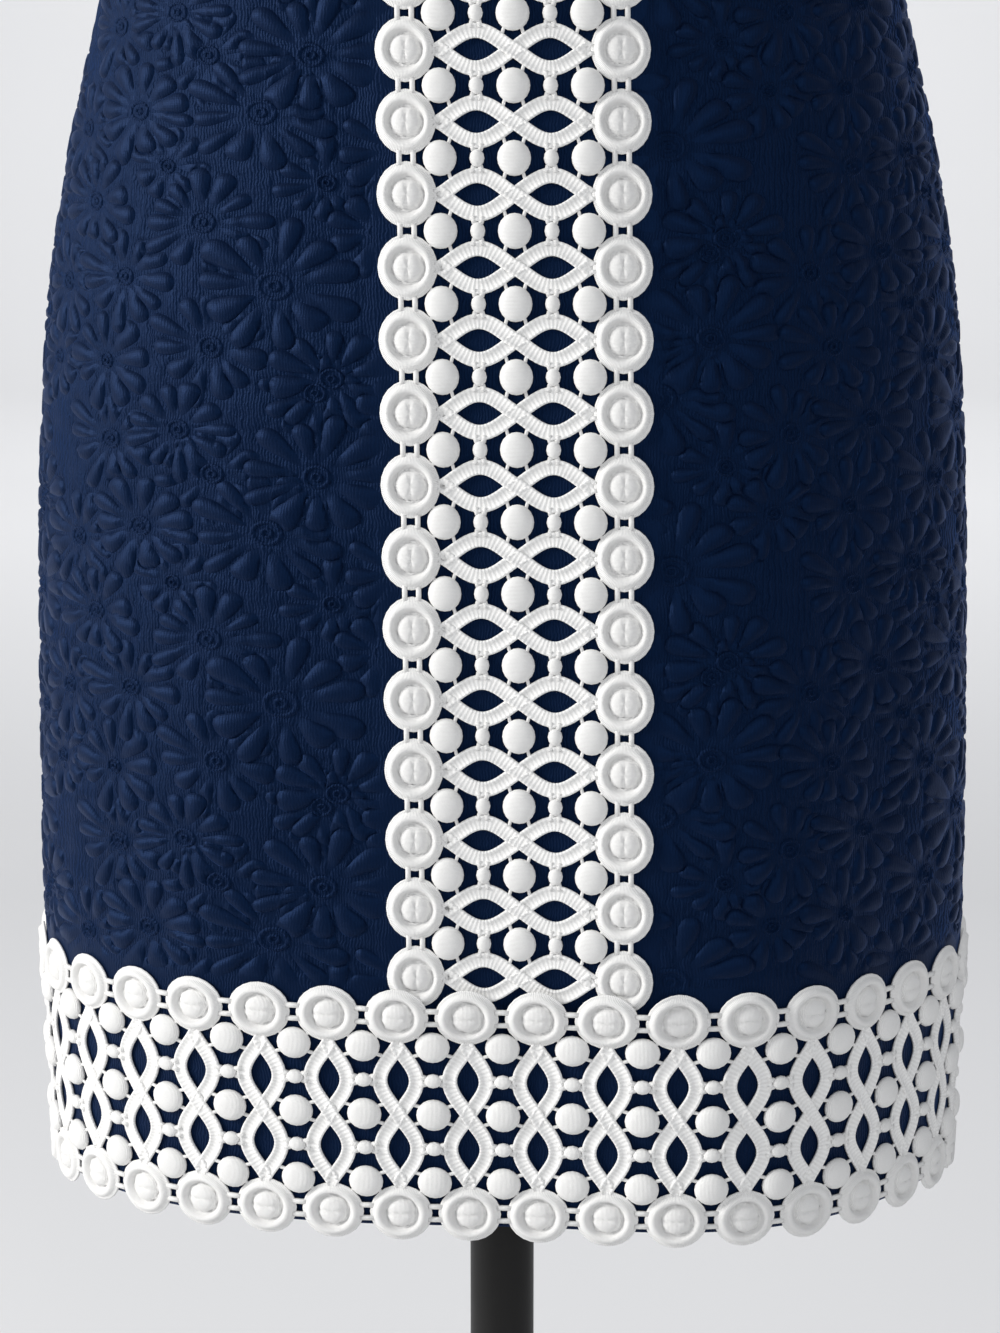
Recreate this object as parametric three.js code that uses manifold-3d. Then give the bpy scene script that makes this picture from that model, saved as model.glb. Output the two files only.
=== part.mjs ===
// Sleeveless cocktail dress on a limbless dress form. Millimetres, +Z up.
// The origin is on the floor at the middle of the base; the dress faces -Y and +X is the
// viewer's right. Heights named h are measured up from the lower edge of the hem lace.
import * as THREE from "three";
import { mergeVertices } from "three/addons/utils/BufferGeometryUtils.js";
import Module from "manifold-3d";

const wasm = await Module();
wasm.setup();

// ---- Driving dimensions ----
const HEM_HEIGHT = 460; // floor to the lower edge of the hem lace
const SEAM_GAP = 0.3; // between two pieces at a seam, and under what lies on a panel
const CLOTH = 1.5; // wall of the quilted cloth
const LACE = 2.5; // wall of the corded lace
const LACE_WIDTH = 111; // both lace bands, edge to edge
const CLOTH_HEM = 5; // the cloth ends this far above the lace's lower edge
const UNDERARM = 765; // top of the side seam
const CHEST_LINE = 750; // level at the centre of the row that ends at the underarm
const SHOULDER_TIP = 925;
const NECK_POINT = 965; // where the shoulder seam meets the neck edge
const NECK_HALF_WIDTH = 75;
const NECK_DROP_FRONT = 95;
const NECK_DROP_BACK = 22;
const ARMHOLE_INSET = 25; // degrees that the armhole cuts in at mid height
const TURN = 3.5; // degrees that the hem sits turned on the form
const FLARE = 18; // fuller right front of the skirt
const BUST = 9; // fullness over each bust dart

const CHAIN_HALF_WIDTH = 2; // centre-back zip
const CHAIN_THICK = 2.1;
const CHAIN_PROUD = 0.4;
const CHAIN_SHORT = 4; // the chain stops this far under the neck edge
const SLIDER = { width: 7, length: 11, thick: 1.8, below: 14 };
const BRIDGE = { width: 1.6, window: 3.2, rise: 2.2, bar: 0.8 };
const PULL = { width: 6.6, length: 24, thick: 1.2, eye: 2.4, reach: 3.3 };

const FORM_BOTTOM = 262;
const FORM_NECK_TOP = 1030;
const CAP_THICK = 14;
const POLE_RADIUS = 15;
const SOCKET_HEIGHT = 46;
const BASE_RADIUS = 200;
const BASE_THICK = 10;
const COLLAR_HEIGHT = 48;

// ---- Curves ----
const rad = THREE.MathUtils.degToRad;
const blend = THREE.MathUtils.lerp;
const bell = (x, middle, width) => Math.exp(-(((x - middle) / width) ** 2));

// A smooth curve through a few [position, value] points that never overshoots them.
function profile(points) {
  const slopes = points.slice(1).map(([x, y], i) => (y - points[i][1]) / (x - points[i][0]));
  const tangents = points.map((_, i) => {
    if (i === 0) return slopes[0];
    if (i === points.length - 1) return slopes[i - 1];
    const [before, after] = [slopes[i - 1], slopes[i]];
    return before * after <= 0 ? 0 : (2 * before * after) / (before + after);
  });
  return (at) => {
    const x = THREE.MathUtils.clamp(at, points[0][0], points[points.length - 1][0]);
    let i = 0;
    while (i < points.length - 2 && x > points[i + 1][0]) i += 1;
    const width = points[i + 1][0] - points[i][0];
    const t = (x - points[i][0]) / width;
    return (
      points[i][1] * (1 + 2 * t) * (1 - t) ** 2 +
      tangents[i] * width * t * (1 - t) ** 2 +
      points[i + 1][1] * t * t * (3 - 2 * t) +
      tangents[i + 1] * width * t * t * (t - 1)
    );
  };
}

// ---- Body sections: half width, front depth, back depth and squareness at each height ----
const dressShape = {
  side: profile([
    [0, 207], [150, 211], [290, 209], [380, 204], [450, 194], [526, 177], [600, 163],
    [650, 162], [735, 170], [850, 174], [905, 182], [SHOULDER_TIP, 180], [945, 127],
    [NECK_POINT, NECK_HALF_WIDTH],
  ]),
  front: profile([
    [0, 131], [200, 133], [345, 128], [450, 119], [526, 110], [600, 105], [705, 120],
    [760, 116], [820, 103], [870, 89], [SHOULDER_TIP, 68], [NECK_POINT, 46],
  ]),
  back: profile([
    [0, 134], [150, 136], [345, 134], [450, 123], [526, 110], [600, 99], [700, 105],
    [780, 112], [850, 108], [905, 93], [945, 70], [NECK_POINT, 54],
  ]),
  squareness: profile([[0, 2.4], [600, 2.4], [870, 2.5], [NECK_POINT, 2.1]]),
};
const formShape = {
  side: profile([
    [FORM_BOTTOM, 148], [268, 160], [300, 172], [360, 176], [450, 163], [560, 131], [600, 128],
    [720, 150], [800, 158], [880, 172], [908, 175], [923, 168], [941, 116], [959, 74],
    [978, 61], [FORM_NECK_TOP, 57],
  ]),
  front: profile([
    [FORM_BOTTOM, 82], [268, 92], [300, 101], [380, 104], [450, 98], [560, 87], [610, 86],
    [705, 109], [760, 106], [820, 92], [870, 77], [915, 60], [957, 43], [985, 53],
    [FORM_NECK_TOP, 56],
  ]),
  back: profile([
    [FORM_BOTTOM, 86], [268, 98], [310, 113], [370, 116], [450, 102], [560, 78], [610, 78],
    [700, 90], [780, 99], [850, 95], [905, 80], [957, 50], [985, 56], [FORM_NECK_TOP, 57],
  ]),
  squareness: profile([[FORM_BOTTOM, 2.2], [600, 2.2], [870, 2.4], [955, 2.1], [990, 2]]),
};

function sectionRadius(shape, h, angle) {
  const n = shape.squareness(h);
  const depth = Math.cos(angle) >= 0 ? shape.front(h) : shape.back(h);
  const across = Math.abs(Math.sin(angle) / shape.side(h)) ** n;
  return (across + Math.abs(Math.cos(angle) / depth) ** n) ** (-1 / n);
}
// A point on a section, at an angle from the front towards +X, swollen outwards.
function onSection(shape, h, angle, swell = 0) {
  const r = sectionRadius(shape, h, angle) + swell;
  return new THREE.Vector3(r * Math.sin(angle), -r * Math.cos(angle), HEM_HEIGHT + h);
}

// ---- The dress as one surface over height h and angle, turned a little on its form ----
const turn = profile([
  [0, rad(TURN)], [526, rad(TURN * 0.6)], [UNDERARM, rad(TURN * 0.2)], [870, 0],
]);
const flare = profile([[0, FLARE], [140, FLARE], [320, FLARE / 2], [480, 0]]);

function dressPoint(h, angle) {
  const a = angle + turn(h);
  const bust = (bell(a, rad(36), 0.36) + bell(a, rad(-36), 0.36)) * BUST * bell(h, 700, 62);
  return onSection(dressShape, h, a, bust + flare(h) * bell(a, rad(39), 0.42));
}
function dressNormal(h, angle) {
  const along = dressPoint(h, angle + 0.004).sub(dressPoint(h, angle - 0.004));
  const up = dressPoint(Math.min(h + 0.5, NECK_POINT), angle).sub(dressPoint(h - 0.5, angle));
  return along.cross(up).normalize();
}
// The angle from the panel's centre where the surface at height h has run arc millimetres.
function angleAtArc(h, arc) {
  const STEPS = 16;
  const step = arc / STEPS / dressShape.front(h);
  let [angle, left, last] = [0, arc, dressPoint(h, 0)];
  while (left > 0) {
    const next = dressPoint(h, angle + step);
    const length = next.distanceTo(last);
    angle += step * Math.min(1, left / length);
    left -= length;
    last = next;
  }
  return angle;
}

// ---- Cut of the panels: every point is [h, angle], angles from the panel's own centre ----
function facing(back) {
  return back ? (p) => [p[0], Math.PI - p[1]] : (p) => p;
}
// The neck edge from the centre (t = 0) to the shoulder seam (t = 1).
function neckEdge(t, back) {
  const drop = back ? NECK_DROP_BACK : NECK_DROP_FRONT;
  const h = NECK_POINT - drop * Math.cos((t * Math.PI) / 2);
  const x = NECK_HALF_WIDTH * Math.sin((t * Math.PI) / 2);
  const depth = back ? dressShape.back(h) : dressShape.front(h);
  const n = dressShape.squareness(h);
  const share = Math.min(x / dressShape.side(h), 1) ** n;
  return [h, Math.atan2(x, depth * (1 - share) ** (1 / n))];
}
// The armhole from the underarm (t = 0) to the shoulder tip (t = 1).
function armhole(t) {
  const inset = rad(ARMHOLE_INSET) * Math.sin(Math.PI * t ** 0.8) ** 0.8;
  return [blend(UNDERARM, SHOULDER_TIP, t), Math.PI / 2 - inset];
}
// count + 1 points spread evenly by length along a curve of [h, angle] from t = from to 1.
function spread(curve, count, back, from = 0) {
  const FINE = 240;
  const toDress = facing(back);
  const fine = Array.from({ length: FINE + 1 }, (_, i) => curve(blend(from, 1, i / FINE)));
  const places = fine.map((p) => dressPoint(...toDress(p)));
  const lengths = [0];
  for (let i = 1; i <= FINE; i += 1) {
    lengths.push(lengths[i - 1] + places[i].distanceTo(places[i - 1]));
  }
  return Array.from({ length: count + 1 }, (_, k) => {
    const wanted = (lengths[FINE] * k) / count;
    const i = Math.max(1, lengths.findIndex((l) => l >= wanted - 1e-9));
    const t = (wanted - lengths[i - 1]) / (lengths[i] - lengths[i - 1]);
    return [blend(fine[i - 1][0], fine[i][0], t), blend(fine[i - 1][1], fine[i][1], t)];
  });
}
// Where the neck edge crosses the line that runs up the panel at this arc from its centre.
function neckCrossing(arc, back) {
  let [low, high] = [0, 1];
  for (let i = 0; i < 30; i += 1) {
    const middle = (low + high) / 2;
    const [h, angle] = neckEdge(middle, back);
    if (angle < angleAtArc(h, arc)) low = middle;
    else high = middle;
  }
  return low;
}

const HEM_ROWS = 2; // rows under the hem lace
const SKIRT_ROWS = 18; // from there to the underarm
const CHEST_ROWS = 4; // from there to the neck edge, at the centre
const NECK_ROWS = 4; // along the neck edge to the shoulder seam
const STRIP_COLUMNS = 3; // from the centre line to the lace's edge
const SIDE_COLUMNS = 7; // from there to the side
const UNDERARM_ROW = HEM_ROWS + SKIRT_ROWS;
const NECK_ROW = UNDERARM_ROW + CHEST_ROWS;
const LAST_ROW = NECK_ROW + NECK_ROWS;
const ZIP_ROW = 9; // the zip's lower end

// Height of a row: evenly to the lace's top edge, then to the chest, then to the neck edge.
function rowHeight(row, chest, neck) {
  if (row <= HEM_ROWS) return blend(CLOTH_HEM, LACE_WIDTH, row / HEM_ROWS);
  if (row <= UNDERARM_ROW) return blend(LACE_WIDTH, chest, (row - HEM_ROWS) / SKIRT_ROWS);
  return blend(chest, neck, (row - UNDERARM_ROW) / CHEST_ROWS);
}
// Half a panel from its centre out to the side seam and armhole. arcs(row) lists the
// millimetres from the centre line of the columns that run straight up to the neck edge.
function halfPanel(back, arcs) {
  const arm = spread(armhole, LAST_ROW - UNDERARM_ROW, back);
  const neckStart = neckCrossing(arcs(NECK_ROW).at(-1), back);
  const neck = spread((t) => neckEdge(t, back), NECK_ROWS, back, neckStart);
  return Array.from({ length: LAST_ROW + 1 }, (_, row) => {
    const strip = arcs(Math.min(row, NECK_ROW)).map((arc) => {
      const h = rowHeight(row, CHEST_LINE, neckEdge(neckCrossing(arc, back), back)[0]);
      return [h, angleAtArc(h, arc)];
    });
    if (row > NECK_ROW) strip.splice(0, strip.length, neck[row - NECK_ROW]);
    const seam = [rowHeight(row, UNDERARM, UNDERARM), Math.PI / 2];
    const side = row <= UNDERARM_ROW ? seam : arm[row - UNDERARM_ROW];
    const inner = strip.at(-1);
    const columns = back ? SIDE_COLUMNS + STRIP_COLUMNS : SIDE_COLUMNS;
    for (let c = 1; c <= columns; c += 1) {
      const t = c / columns;
      strip.push([blend(inner[0], side[0], t), blend(inner[1], side[1], t)]);
    }
    return strip;
  });
}
// Moves the points on the side and shoulder seams half a seam gap into the panel.
function trimSeams(half) {
  const trim = SEAM_GAP / 2 / dressShape.side(UNDERARM);
  return half.map((row, r) =>
    row.map(([h, angle], c) => {
      const onSideSeam = r <= UNDERARM_ROW && c === row.length - 1;
      return [h, onSideSeam || r === LAST_ROW ? Math.PI / 2 - trim : angle];
    }),
  );
}
const mirrored = (grid) => grid.map((row) => row.map(([h, angle]) => [h, -angle]).reverse());
const onBack = (grid) => grid.map((row) => row.map(facing(true)).reverse());

// ---- Closed shells ----
const LEANING = 0.8; // of its other diagonal, below which a cell's diagonal is the shorter one
function meshGeometry(positions, indices) {
  const geometry = new THREE.BufferGeometry();
  geometry.setAttribute("position", new THREE.Float32BufferAttribute(positions, 3));
  geometry.setIndex(indices);
  geometry.computeVertexNormals();
  return geometry;
}
// A wall on the dress surface over one or more grids of [h, angle] that share their edge
// points. Rows run upwards and columns towards a larger angle. Its outer face stands off the
// surface by lift. A cell that leans over is split along its shorter diagonal.
function shell(grids, lift, thickness) {
  const index = new Map();
  const [outer, inner, faces] = [[], [], []];
  const vertex = ([h, angle]) => {
    const place = dressPoint(h, angle);
    const key = place.toArray().map((v) => Math.round(v * 1000)).join();
    if (!index.has(key)) {
      index.set(key, outer.length);
      const normal = dressNormal(h, angle);
      outer.push(place.clone().addScaledVector(normal, lift));
      inner.push(place.addScaledVector(normal, lift - thickness));
    }
    return index.get(key);
  };
  for (const grid of grids) {
    for (let r = 0; r < grid.length - 1; r += 1) {
      for (let c = 0; c < grid[r].length - 1; c += 1) {
        const [a, b] = [vertex(grid[r][c]), vertex(grid[r][c + 1])];
        const [d, e] = [vertex(grid[r + 1][c + 1]), vertex(grid[r + 1][c])];
        const diagonals = [outer[b].distanceTo(outer[e]), outer[a].distanceTo(outer[d])];
        const skewed = diagonals[0] < LEANING * diagonals[1];
        if (skewed) faces.push([a, b, e], [b, d, e]);
        else faces.push([a, b, d], [a, d, e]);
      }
    }
  }
  const solid = faces.filter(([a, b, c]) => a !== b && b !== c && a !== c);
  const edges = new Set(solid.flatMap(([a, b, c]) => [`${a},${b}`, `${b},${c}`, `${c},${a}`]));
  const count = outer.length;
  const indices = solid.flatMap(([a, b, c]) => [a, b, c, a + count, c + count, b + count]);
  for (const edge of edges) {
    const [a, b] = edge.split(",").map(Number);
    if (edges.has(`${b},${a}`)) continue;
    indices.push(b, a, a + count, b, a + count, b + count);
  }
  return meshGeometry([...outer, ...inner].flatMap((p) => p.toArray()), indices);
}
// A closed loft through sections of a body shape, with flat ends.
function loft(shape, heights, sides) {
  const positions = heights.flatMap((h) =>
    Array.from({ length: sides }, (_, i) =>
      onSection(shape, h, (i / sides) * 2 * Math.PI).toArray(),
    ).flat(),
  );
  const [bottom, top] = [heights.length * sides, heights.length * sides + 1];
  positions.push(0, 0, HEM_HEIGHT + heights[0], 0, 0, HEM_HEIGHT + heights.at(-1));
  const indices = [];
  for (let i = 0; i < sides; i += 1) {
    const j = (i + 1) % sides;
    for (let r = 0; r < heights.length - 1; r += 1) {
      const [a, b] = [r * sides + i, r * sides + j];
      indices.push(a, b, b + sides, a, b + sides, a + sides);
    }
    const topRow = (heights.length - 1) * sides;
    indices.push(bottom, j, i, top, topRow + i, topRow + j);
  }
  return meshGeometry(positions, indices);
}
// A turned piece on the Z axis: profile points are [radius, z]; bored pieces close on themselves.
function turnedPiece(points, bored = false) {
  const outline = (bored ? [...points, points[0]] : points).map((p) => new THREE.Vector2(...p));
  return new THREE.LatheGeometry(outline, 40).rotateX(Math.PI / 2);
}

// ---- Boolean joins ----
function toManifold(geometry) {
  const bare = geometry.clone();
  bare.deleteAttribute("normal");
  bare.deleteAttribute("uv");
  const merged = mergeVertices(bare, 1e-4);
  return new wasm.Manifold(
    new wasm.Mesh({
      numProp: 3,
      vertProperties: merged.attributes.position.array,
      triVerts: new Uint32Array(merged.index.array),
    }),
  );
}
function joined(...geometries) {
  const mesh = geometries.map(toManifold).reduce((a, b) => a.add(b)).getMesh();
  return meshGeometry([...mesh.vertProperties], [...mesh.triVerts]);
}

// ---- Materials ----
const finish = (color, roughness, metalness = 0) =>
  new THREE.MeshStandardMaterial({ color, roughness, metalness });
const finishes = {
  cloth: () => finish("#1d2a4b", 0.85),
  lace: () => finish("#eceae6", 0.8),
  tape: () => finish("#18223d", 0.7),
  metal: () => finish("#b9bbc0", 0.3, 1),
  cover: () => finish("#d8d2c6", 0.9),
  wood: () => finish("#b98d5e", 0.5),
  satinBlack: () => finish("#1c1b19", 0.4, 0.3),
};

const part = new THREE.Group();
function add(name, geometry, material, group = part) {
  const mesh = new THREE.Mesh(geometry, material());
  mesh.name = name;
  group.add(mesh);
  return mesh;
}

// ---- The dress ----
const laceArcs = Array.from({ length: STRIP_COLUMNS + 1 }, (_, i) => {
  return (LACE_WIDTH / 2 / STRIP_COLUMNS) * i;
});
const zipEdge = (row) => (row < ZIP_ROW ? SEAM_GAP / 2 : CHAIN_HALF_WIDTH + SEAM_GAP);
const frontHalf = halfPanel(false, () => laceArcs);
const backHalf = halfPanel(true, (row) => [zipEdge(row)]);

// A front half's rows are split at the neck edge, because the upper rows start further out.
function frontGrids() {
  const half = trimSeams(frontHalf);
  const lower = half.slice(0, NECK_ROW + 1);
  const upper = [half[NECK_ROW].slice(STRIP_COLUMNS), ...half.slice(NECK_ROW + 1)];
  return [lower, upper, mirrored(lower), mirrored(upper)];
}
add("front_panel", shell(frontGrids(), 0, CLOTH), finishes.cloth);
const backGrid = onBack(trimSeams(backHalf));
add("back_right_panel", shell([backGrid], 0, CLOTH), finishes.cloth);
add("back_left_panel", shell([mirrored(backGrid)], 0, CLOTH), finishes.cloth);

const laceLift = SEAM_GAP + LACE;
function frontLaceGrid() {
  const rows = frontHalf.slice(HEM_ROWS, NECK_ROW + 1).map((row, r) =>
    row.slice(0, STRIP_COLUMNS + 1).map(([h, angle]) => [r === 0 ? h + SEAM_GAP : h, angle]),
  );
  return rows.map((row, r) => [...mirrored(rows)[r].slice(0, -1), ...row]);
}
add("front_lace", shell([frontLaceGrid()], laceLift, LACE), finishes.lace);

function hemLaceGrid() {
  return [0, 1, HEM_ROWS].map((r) => {
    const h = r === 0 ? 0 : frontHalf[r][0][0];
    const front = frontHalf[r].map(([, angle]) => angle);
    const back = backHalf[r].slice(1).map(([, angle]) => Math.PI - angle).reverse();
    const right = [...front.slice(0, -1), Math.PI / 2, ...back.slice(1), Math.PI];
    const left = right.slice(1).map((angle) => -angle).reverse();
    return [...left, ...right].map((angle) => [h, angle]);
  });
}
add("hem_lace", shell([hemLaceGrid()], laceLift, LACE), finishes.lace);

// ---- The centre-back zip ----
function zipChainGrid() {
  return backHalf.slice(ZIP_ROW, NECK_ROW + 1).map(([[h]], i, rows) => {
    const height = i === rows.length - 1 ? h - CHAIN_SHORT : h;
    const half = CHAIN_HALF_WIDTH / dressShape.back(height);
    return [Math.PI - half, Math.PI + half].map((angle) => [height, angle]);
  });
}
add("zip_chain", shell([zipChainGrid()], CHAIN_PROUD, CHAIN_THICK), finishes.tape);

// A plate in the X-Z plane, its outline given in that plane, thick along Y from y0.
function plate(shape, y0, thick) {
  const geometry = new THREE.ExtrudeGeometry(shape, {
    depth: thick, bevelEnabled: false, curveSegments: 10,
  });
  return geometry.rotateX(Math.PI / 2).translate(0, y0 + thick, 0);
}
// The slider's own frame: X across, Z up the chain, Y away from the back; the pull turns
// about X through its origin.
const bridgeHeight = BRIDGE.rise / 2; // of the pull's axis over the slider's plate
function sliderGeometry() {
  const { width, length, thick } = SLIDER;
  const body = new THREE.Shape();
  body.moveTo(-width * 0.34, -length / 2);
  body.lineTo(width * 0.34, -length / 2);
  body.lineTo(width / 2, length * 0.12);
  body.quadraticCurveTo(width * 0.46, length * 0.46, 0, length / 2);
  body.quadraticCurveTo(-width * 0.46, length * 0.46, -width / 2, length * 0.12);
  body.closePath();
  const side = new THREE.Shape();
  const reach = BRIDGE.window / 2 + BRIDGE.bar;
  const crown = bridgeHeight + BRIDGE.bar;
  side.moveTo(-reach, -bridgeHeight - thick / 2);
  side.lineTo(reach, -bridgeHeight - thick / 2);
  side.lineTo(reach, bridgeHeight);
  side.quadraticCurveTo(reach, crown, reach - BRIDGE.bar, crown);
  side.lineTo(BRIDGE.bar - reach, crown);
  side.quadraticCurveTo(-reach, crown, -reach, bridgeHeight);
  side.closePath();
  const window = new THREE.Path();
  const half = BRIDGE.window / 2;
  window.moveTo(-half, -bridgeHeight);
  window.lineTo(-half, bridgeHeight);
  window.lineTo(half, bridgeHeight);
  window.lineTo(half, -bridgeHeight);
  window.closePath();
  side.holes.push(window);
  const bridge = new THREE.ExtrudeGeometry(side, {
    depth: BRIDGE.width, bevelEnabled: false, curveSegments: 5,
  });
  // The side outline is drawn as (up the chain, away from the back).
  bridge.translate(0, 0, -BRIDGE.width / 2).applyMatrix4(
    new THREE.Matrix4().makeBasis(
      new THREE.Vector3(0, 0, 1), new THREE.Vector3(0, 1, 0), new THREE.Vector3(-1, 0, 0),
    ),
  );
  return joined(plate(body, -bridgeHeight - thick, thick), bridge);
}
function pullGeometry() {
  const { width, length, thick, eye, reach } = PULL;
  const [shoulder, waist, half] = [width * 0.36, width * 0.2, width / 2];
  const [high, low, bulb] = [-length * 0.4, -length * 0.6, half - length];
  const outline = new THREE.Shape();
  outline.moveTo(-shoulder, thick / 2);
  outline.lineTo(-shoulder, -reach - 1);
  outline.bezierCurveTo(-waist, high, -half, low, -half, bulb);
  outline.absarc(0, bulb, half, Math.PI, 2 * Math.PI, false);
  outline.bezierCurveTo(half, low, waist, high, shoulder, -reach - 1);
  outline.lineTo(shoulder, thick / 2);
  outline.closePath();
  const hole = new THREE.Path();
  hole.moveTo(-eye / 2, -thick / 2);
  hole.lineTo(-eye / 2, -reach);
  hole.lineTo(eye / 2, -reach);
  hole.lineTo(eye / 2, -thick / 2);
  hole.closePath();
  outline.holes.push(hole);
  return plate(outline, -thick / 2, thick);
}
function addZipHardware() {
  const h = backHalf[NECK_ROW][0][0] - SLIDER.below;
  const away = dressNormal(h, Math.PI);
  const across = new THREE.Vector3(1, 0, 0).projectOnPlane(away).normalize();
  const up = new THREE.Vector3().crossVectors(across, away);
  const lift = CHAIN_PROUD + SEAM_GAP + SLIDER.thick + bridgeHeight;
  const hardware = new THREE.Group();
  hardware.position.copy(dressPoint(h, Math.PI)).addScaledVector(away, lift);
  hardware.setRotationFromMatrix(new THREE.Matrix4().makeBasis(across, away, up));
  part.add(hardware);
  add("zip_slider", sliderGeometry(), finishes.metal, hardware);
  add("zip_pull", pullGeometry(), finishes.metal, hardware);
}
addZipHardware();

// ---- The form and its stand ----
const torsoHeights = [
  FORM_BOTTOM, 265, 270, 283, 300, 330, 365, 400, 435, 470, 505, 535, 565, 595, 625, 655, 685,
  715, 745, 775, 805, 835, 862, 885, 902, 914, 923, 932, 941, 950, 959, 968, 980, 1000,
  FORM_NECK_TOP,
];
add("form_torso", loft(formShape, torsoHeights, 36), finishes.cover);

const neckTop = HEM_HEIGHT + FORM_NECK_TOP + SEAM_GAP;
const neckRadius = formShape.side(FORM_NECK_TOP);
add("neck_cap", turnedPiece([
  [0, neckTop], [neckRadius - 1, neckTop], [neckRadius + 1, neckTop + 2],
  [neckRadius + 1, neckTop + CAP_THICK - 5], [neckRadius - 3, neckTop + CAP_THICK - 1.5],
  [neckRadius * 0.6, neckTop + CAP_THICK], [0, neckTop + CAP_THICK + 1],
]), finishes.wood);

const torsoFoot = HEM_HEIGHT + FORM_BOTTOM - SEAM_GAP;
const bore = POLE_RADIUS + SEAM_GAP;
add("form_socket", turnedPiece([
  [bore, torsoFoot - SOCKET_HEIGHT], [bore + 5, torsoFoot - SOCKET_HEIGHT],
  [bore + 6, torsoFoot - SOCKET_HEIGHT + 2], [bore + 6, torsoFoot - 12], [bore + 12, torsoFoot - 6],
  [bore + 30, torsoFoot - 5], [bore + 31, torsoFoot - 1], [bore + 30, torsoFoot], [bore, torsoFoot],
], true), finishes.satinBlack);

const poleFoot = BASE_THICK + SEAM_GAP;
const poleTop = torsoFoot - SEAM_GAP;
add("pole", turnedPiece([
  [0, poleFoot], [POLE_RADIUS, poleFoot], [POLE_RADIUS, poleTop], [0, poleTop],
]), finishes.satinBlack);
add("base_collar", turnedPiece([
  [bore, poleFoot], [bore + 24, poleFoot], [bore + 25, poleFoot + 3], [bore + 14, poleFoot + 9],
  [bore + 7, poleFoot + 20], [bore + 5, poleFoot + COLLAR_HEIGHT - 2],
  [bore + 3, poleFoot + COLLAR_HEIGHT], [bore, poleFoot + COLLAR_HEIGHT],
], true), finishes.satinBlack);
add("base_plate", turnedPiece([
  [0, 0], [BASE_RADIUS - 1.5, 0], [BASE_RADIUS, 1.5], [BASE_RADIUS, BASE_THICK - 4],
  [BASE_RADIUS - 1.5, BASE_THICK - 1.5], [BASE_RADIUS - 5, BASE_THICK], [0, BASE_THICK],
]), finishes.satinBlack);

export default part;
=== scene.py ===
"""A navy quilted cocktail dress with white lace, on a limbless dress form.

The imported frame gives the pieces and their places. This script repeats the dress surface that
they were cut from and builds the visible cloth, lace, zip, form and stand round it. Sizes are in
millimetres, and become metres as each mesh is made. Heights named h are measured up from the
lower edge of the hem lace. On a flat pattern s runs across from the panel's centre line and v
runs up the cloth.
"""

import logging
import math
from dataclasses import dataclass, field, replace
from enum import Enum
from functools import cache

import bmesh
import bpy
import numpy as np
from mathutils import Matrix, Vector
from mathutils.geometry import delaunay_2d_cdt
from mathutils.kdtree import KDTree

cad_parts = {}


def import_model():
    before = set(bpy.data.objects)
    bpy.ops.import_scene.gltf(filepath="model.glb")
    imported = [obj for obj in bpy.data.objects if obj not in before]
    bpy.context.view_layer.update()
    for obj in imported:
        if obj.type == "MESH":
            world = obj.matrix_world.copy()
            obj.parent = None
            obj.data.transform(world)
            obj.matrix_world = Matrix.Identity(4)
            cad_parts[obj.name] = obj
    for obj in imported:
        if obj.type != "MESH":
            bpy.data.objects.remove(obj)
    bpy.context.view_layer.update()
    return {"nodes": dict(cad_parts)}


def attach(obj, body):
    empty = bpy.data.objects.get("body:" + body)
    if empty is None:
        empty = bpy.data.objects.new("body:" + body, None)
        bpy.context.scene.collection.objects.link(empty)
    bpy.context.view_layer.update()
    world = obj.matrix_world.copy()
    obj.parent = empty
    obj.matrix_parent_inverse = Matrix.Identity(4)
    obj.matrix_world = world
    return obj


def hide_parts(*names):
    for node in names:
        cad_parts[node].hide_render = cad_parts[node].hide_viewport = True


log = logging.getLogger("dress")

MM = 0.001
HEM_HEIGHT = 460.0  # floor to the lower edge of the hem lace
LACE_WIDTH = 111.0
CLOTH_HEM = 5.0  # the cloth ends this far above the lace's lower edge
CLOTH = 1.5  # wall of the cloth
SEAM_GAP = 0.3
UNDERARM = 765.0
SHOULDER_TIP = 925.0
NECK_POINT = 965.0
NECK_HALF_WIDTH = 75.0
NECK_DROP_FRONT = 95.0
NECK_DROP_BACK = 22.0
ARMHOLE_INSET = math.radians(25)
ZIP_FOOT = 359.0  # height of the zip's lower end
CHAIN_HALF_WIDTH = 2.0
BATCH = 4000  # points that are tested against an outline at once

Array = np.ndarray


class Centre(Enum):
    """The centre line that a pattern's s is measured from."""

    FRONT = 0.0
    BACK = math.pi


# ---- Curves and the dress surface ----


def bell(x: Array, middle: float, width: float) -> Array:
    """A smooth bump of height one."""
    return np.exp(-(((np.asarray(x) - middle) / width) ** 2))


def smooth_step(x: Array, low: float, high: float) -> Array:
    """Zero below low, one above high, and smooth between."""
    t = np.clip((np.asarray(x) - low) / (high - low), 0.0, 1.0)
    return t * t * (3 - 2 * t)


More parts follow.
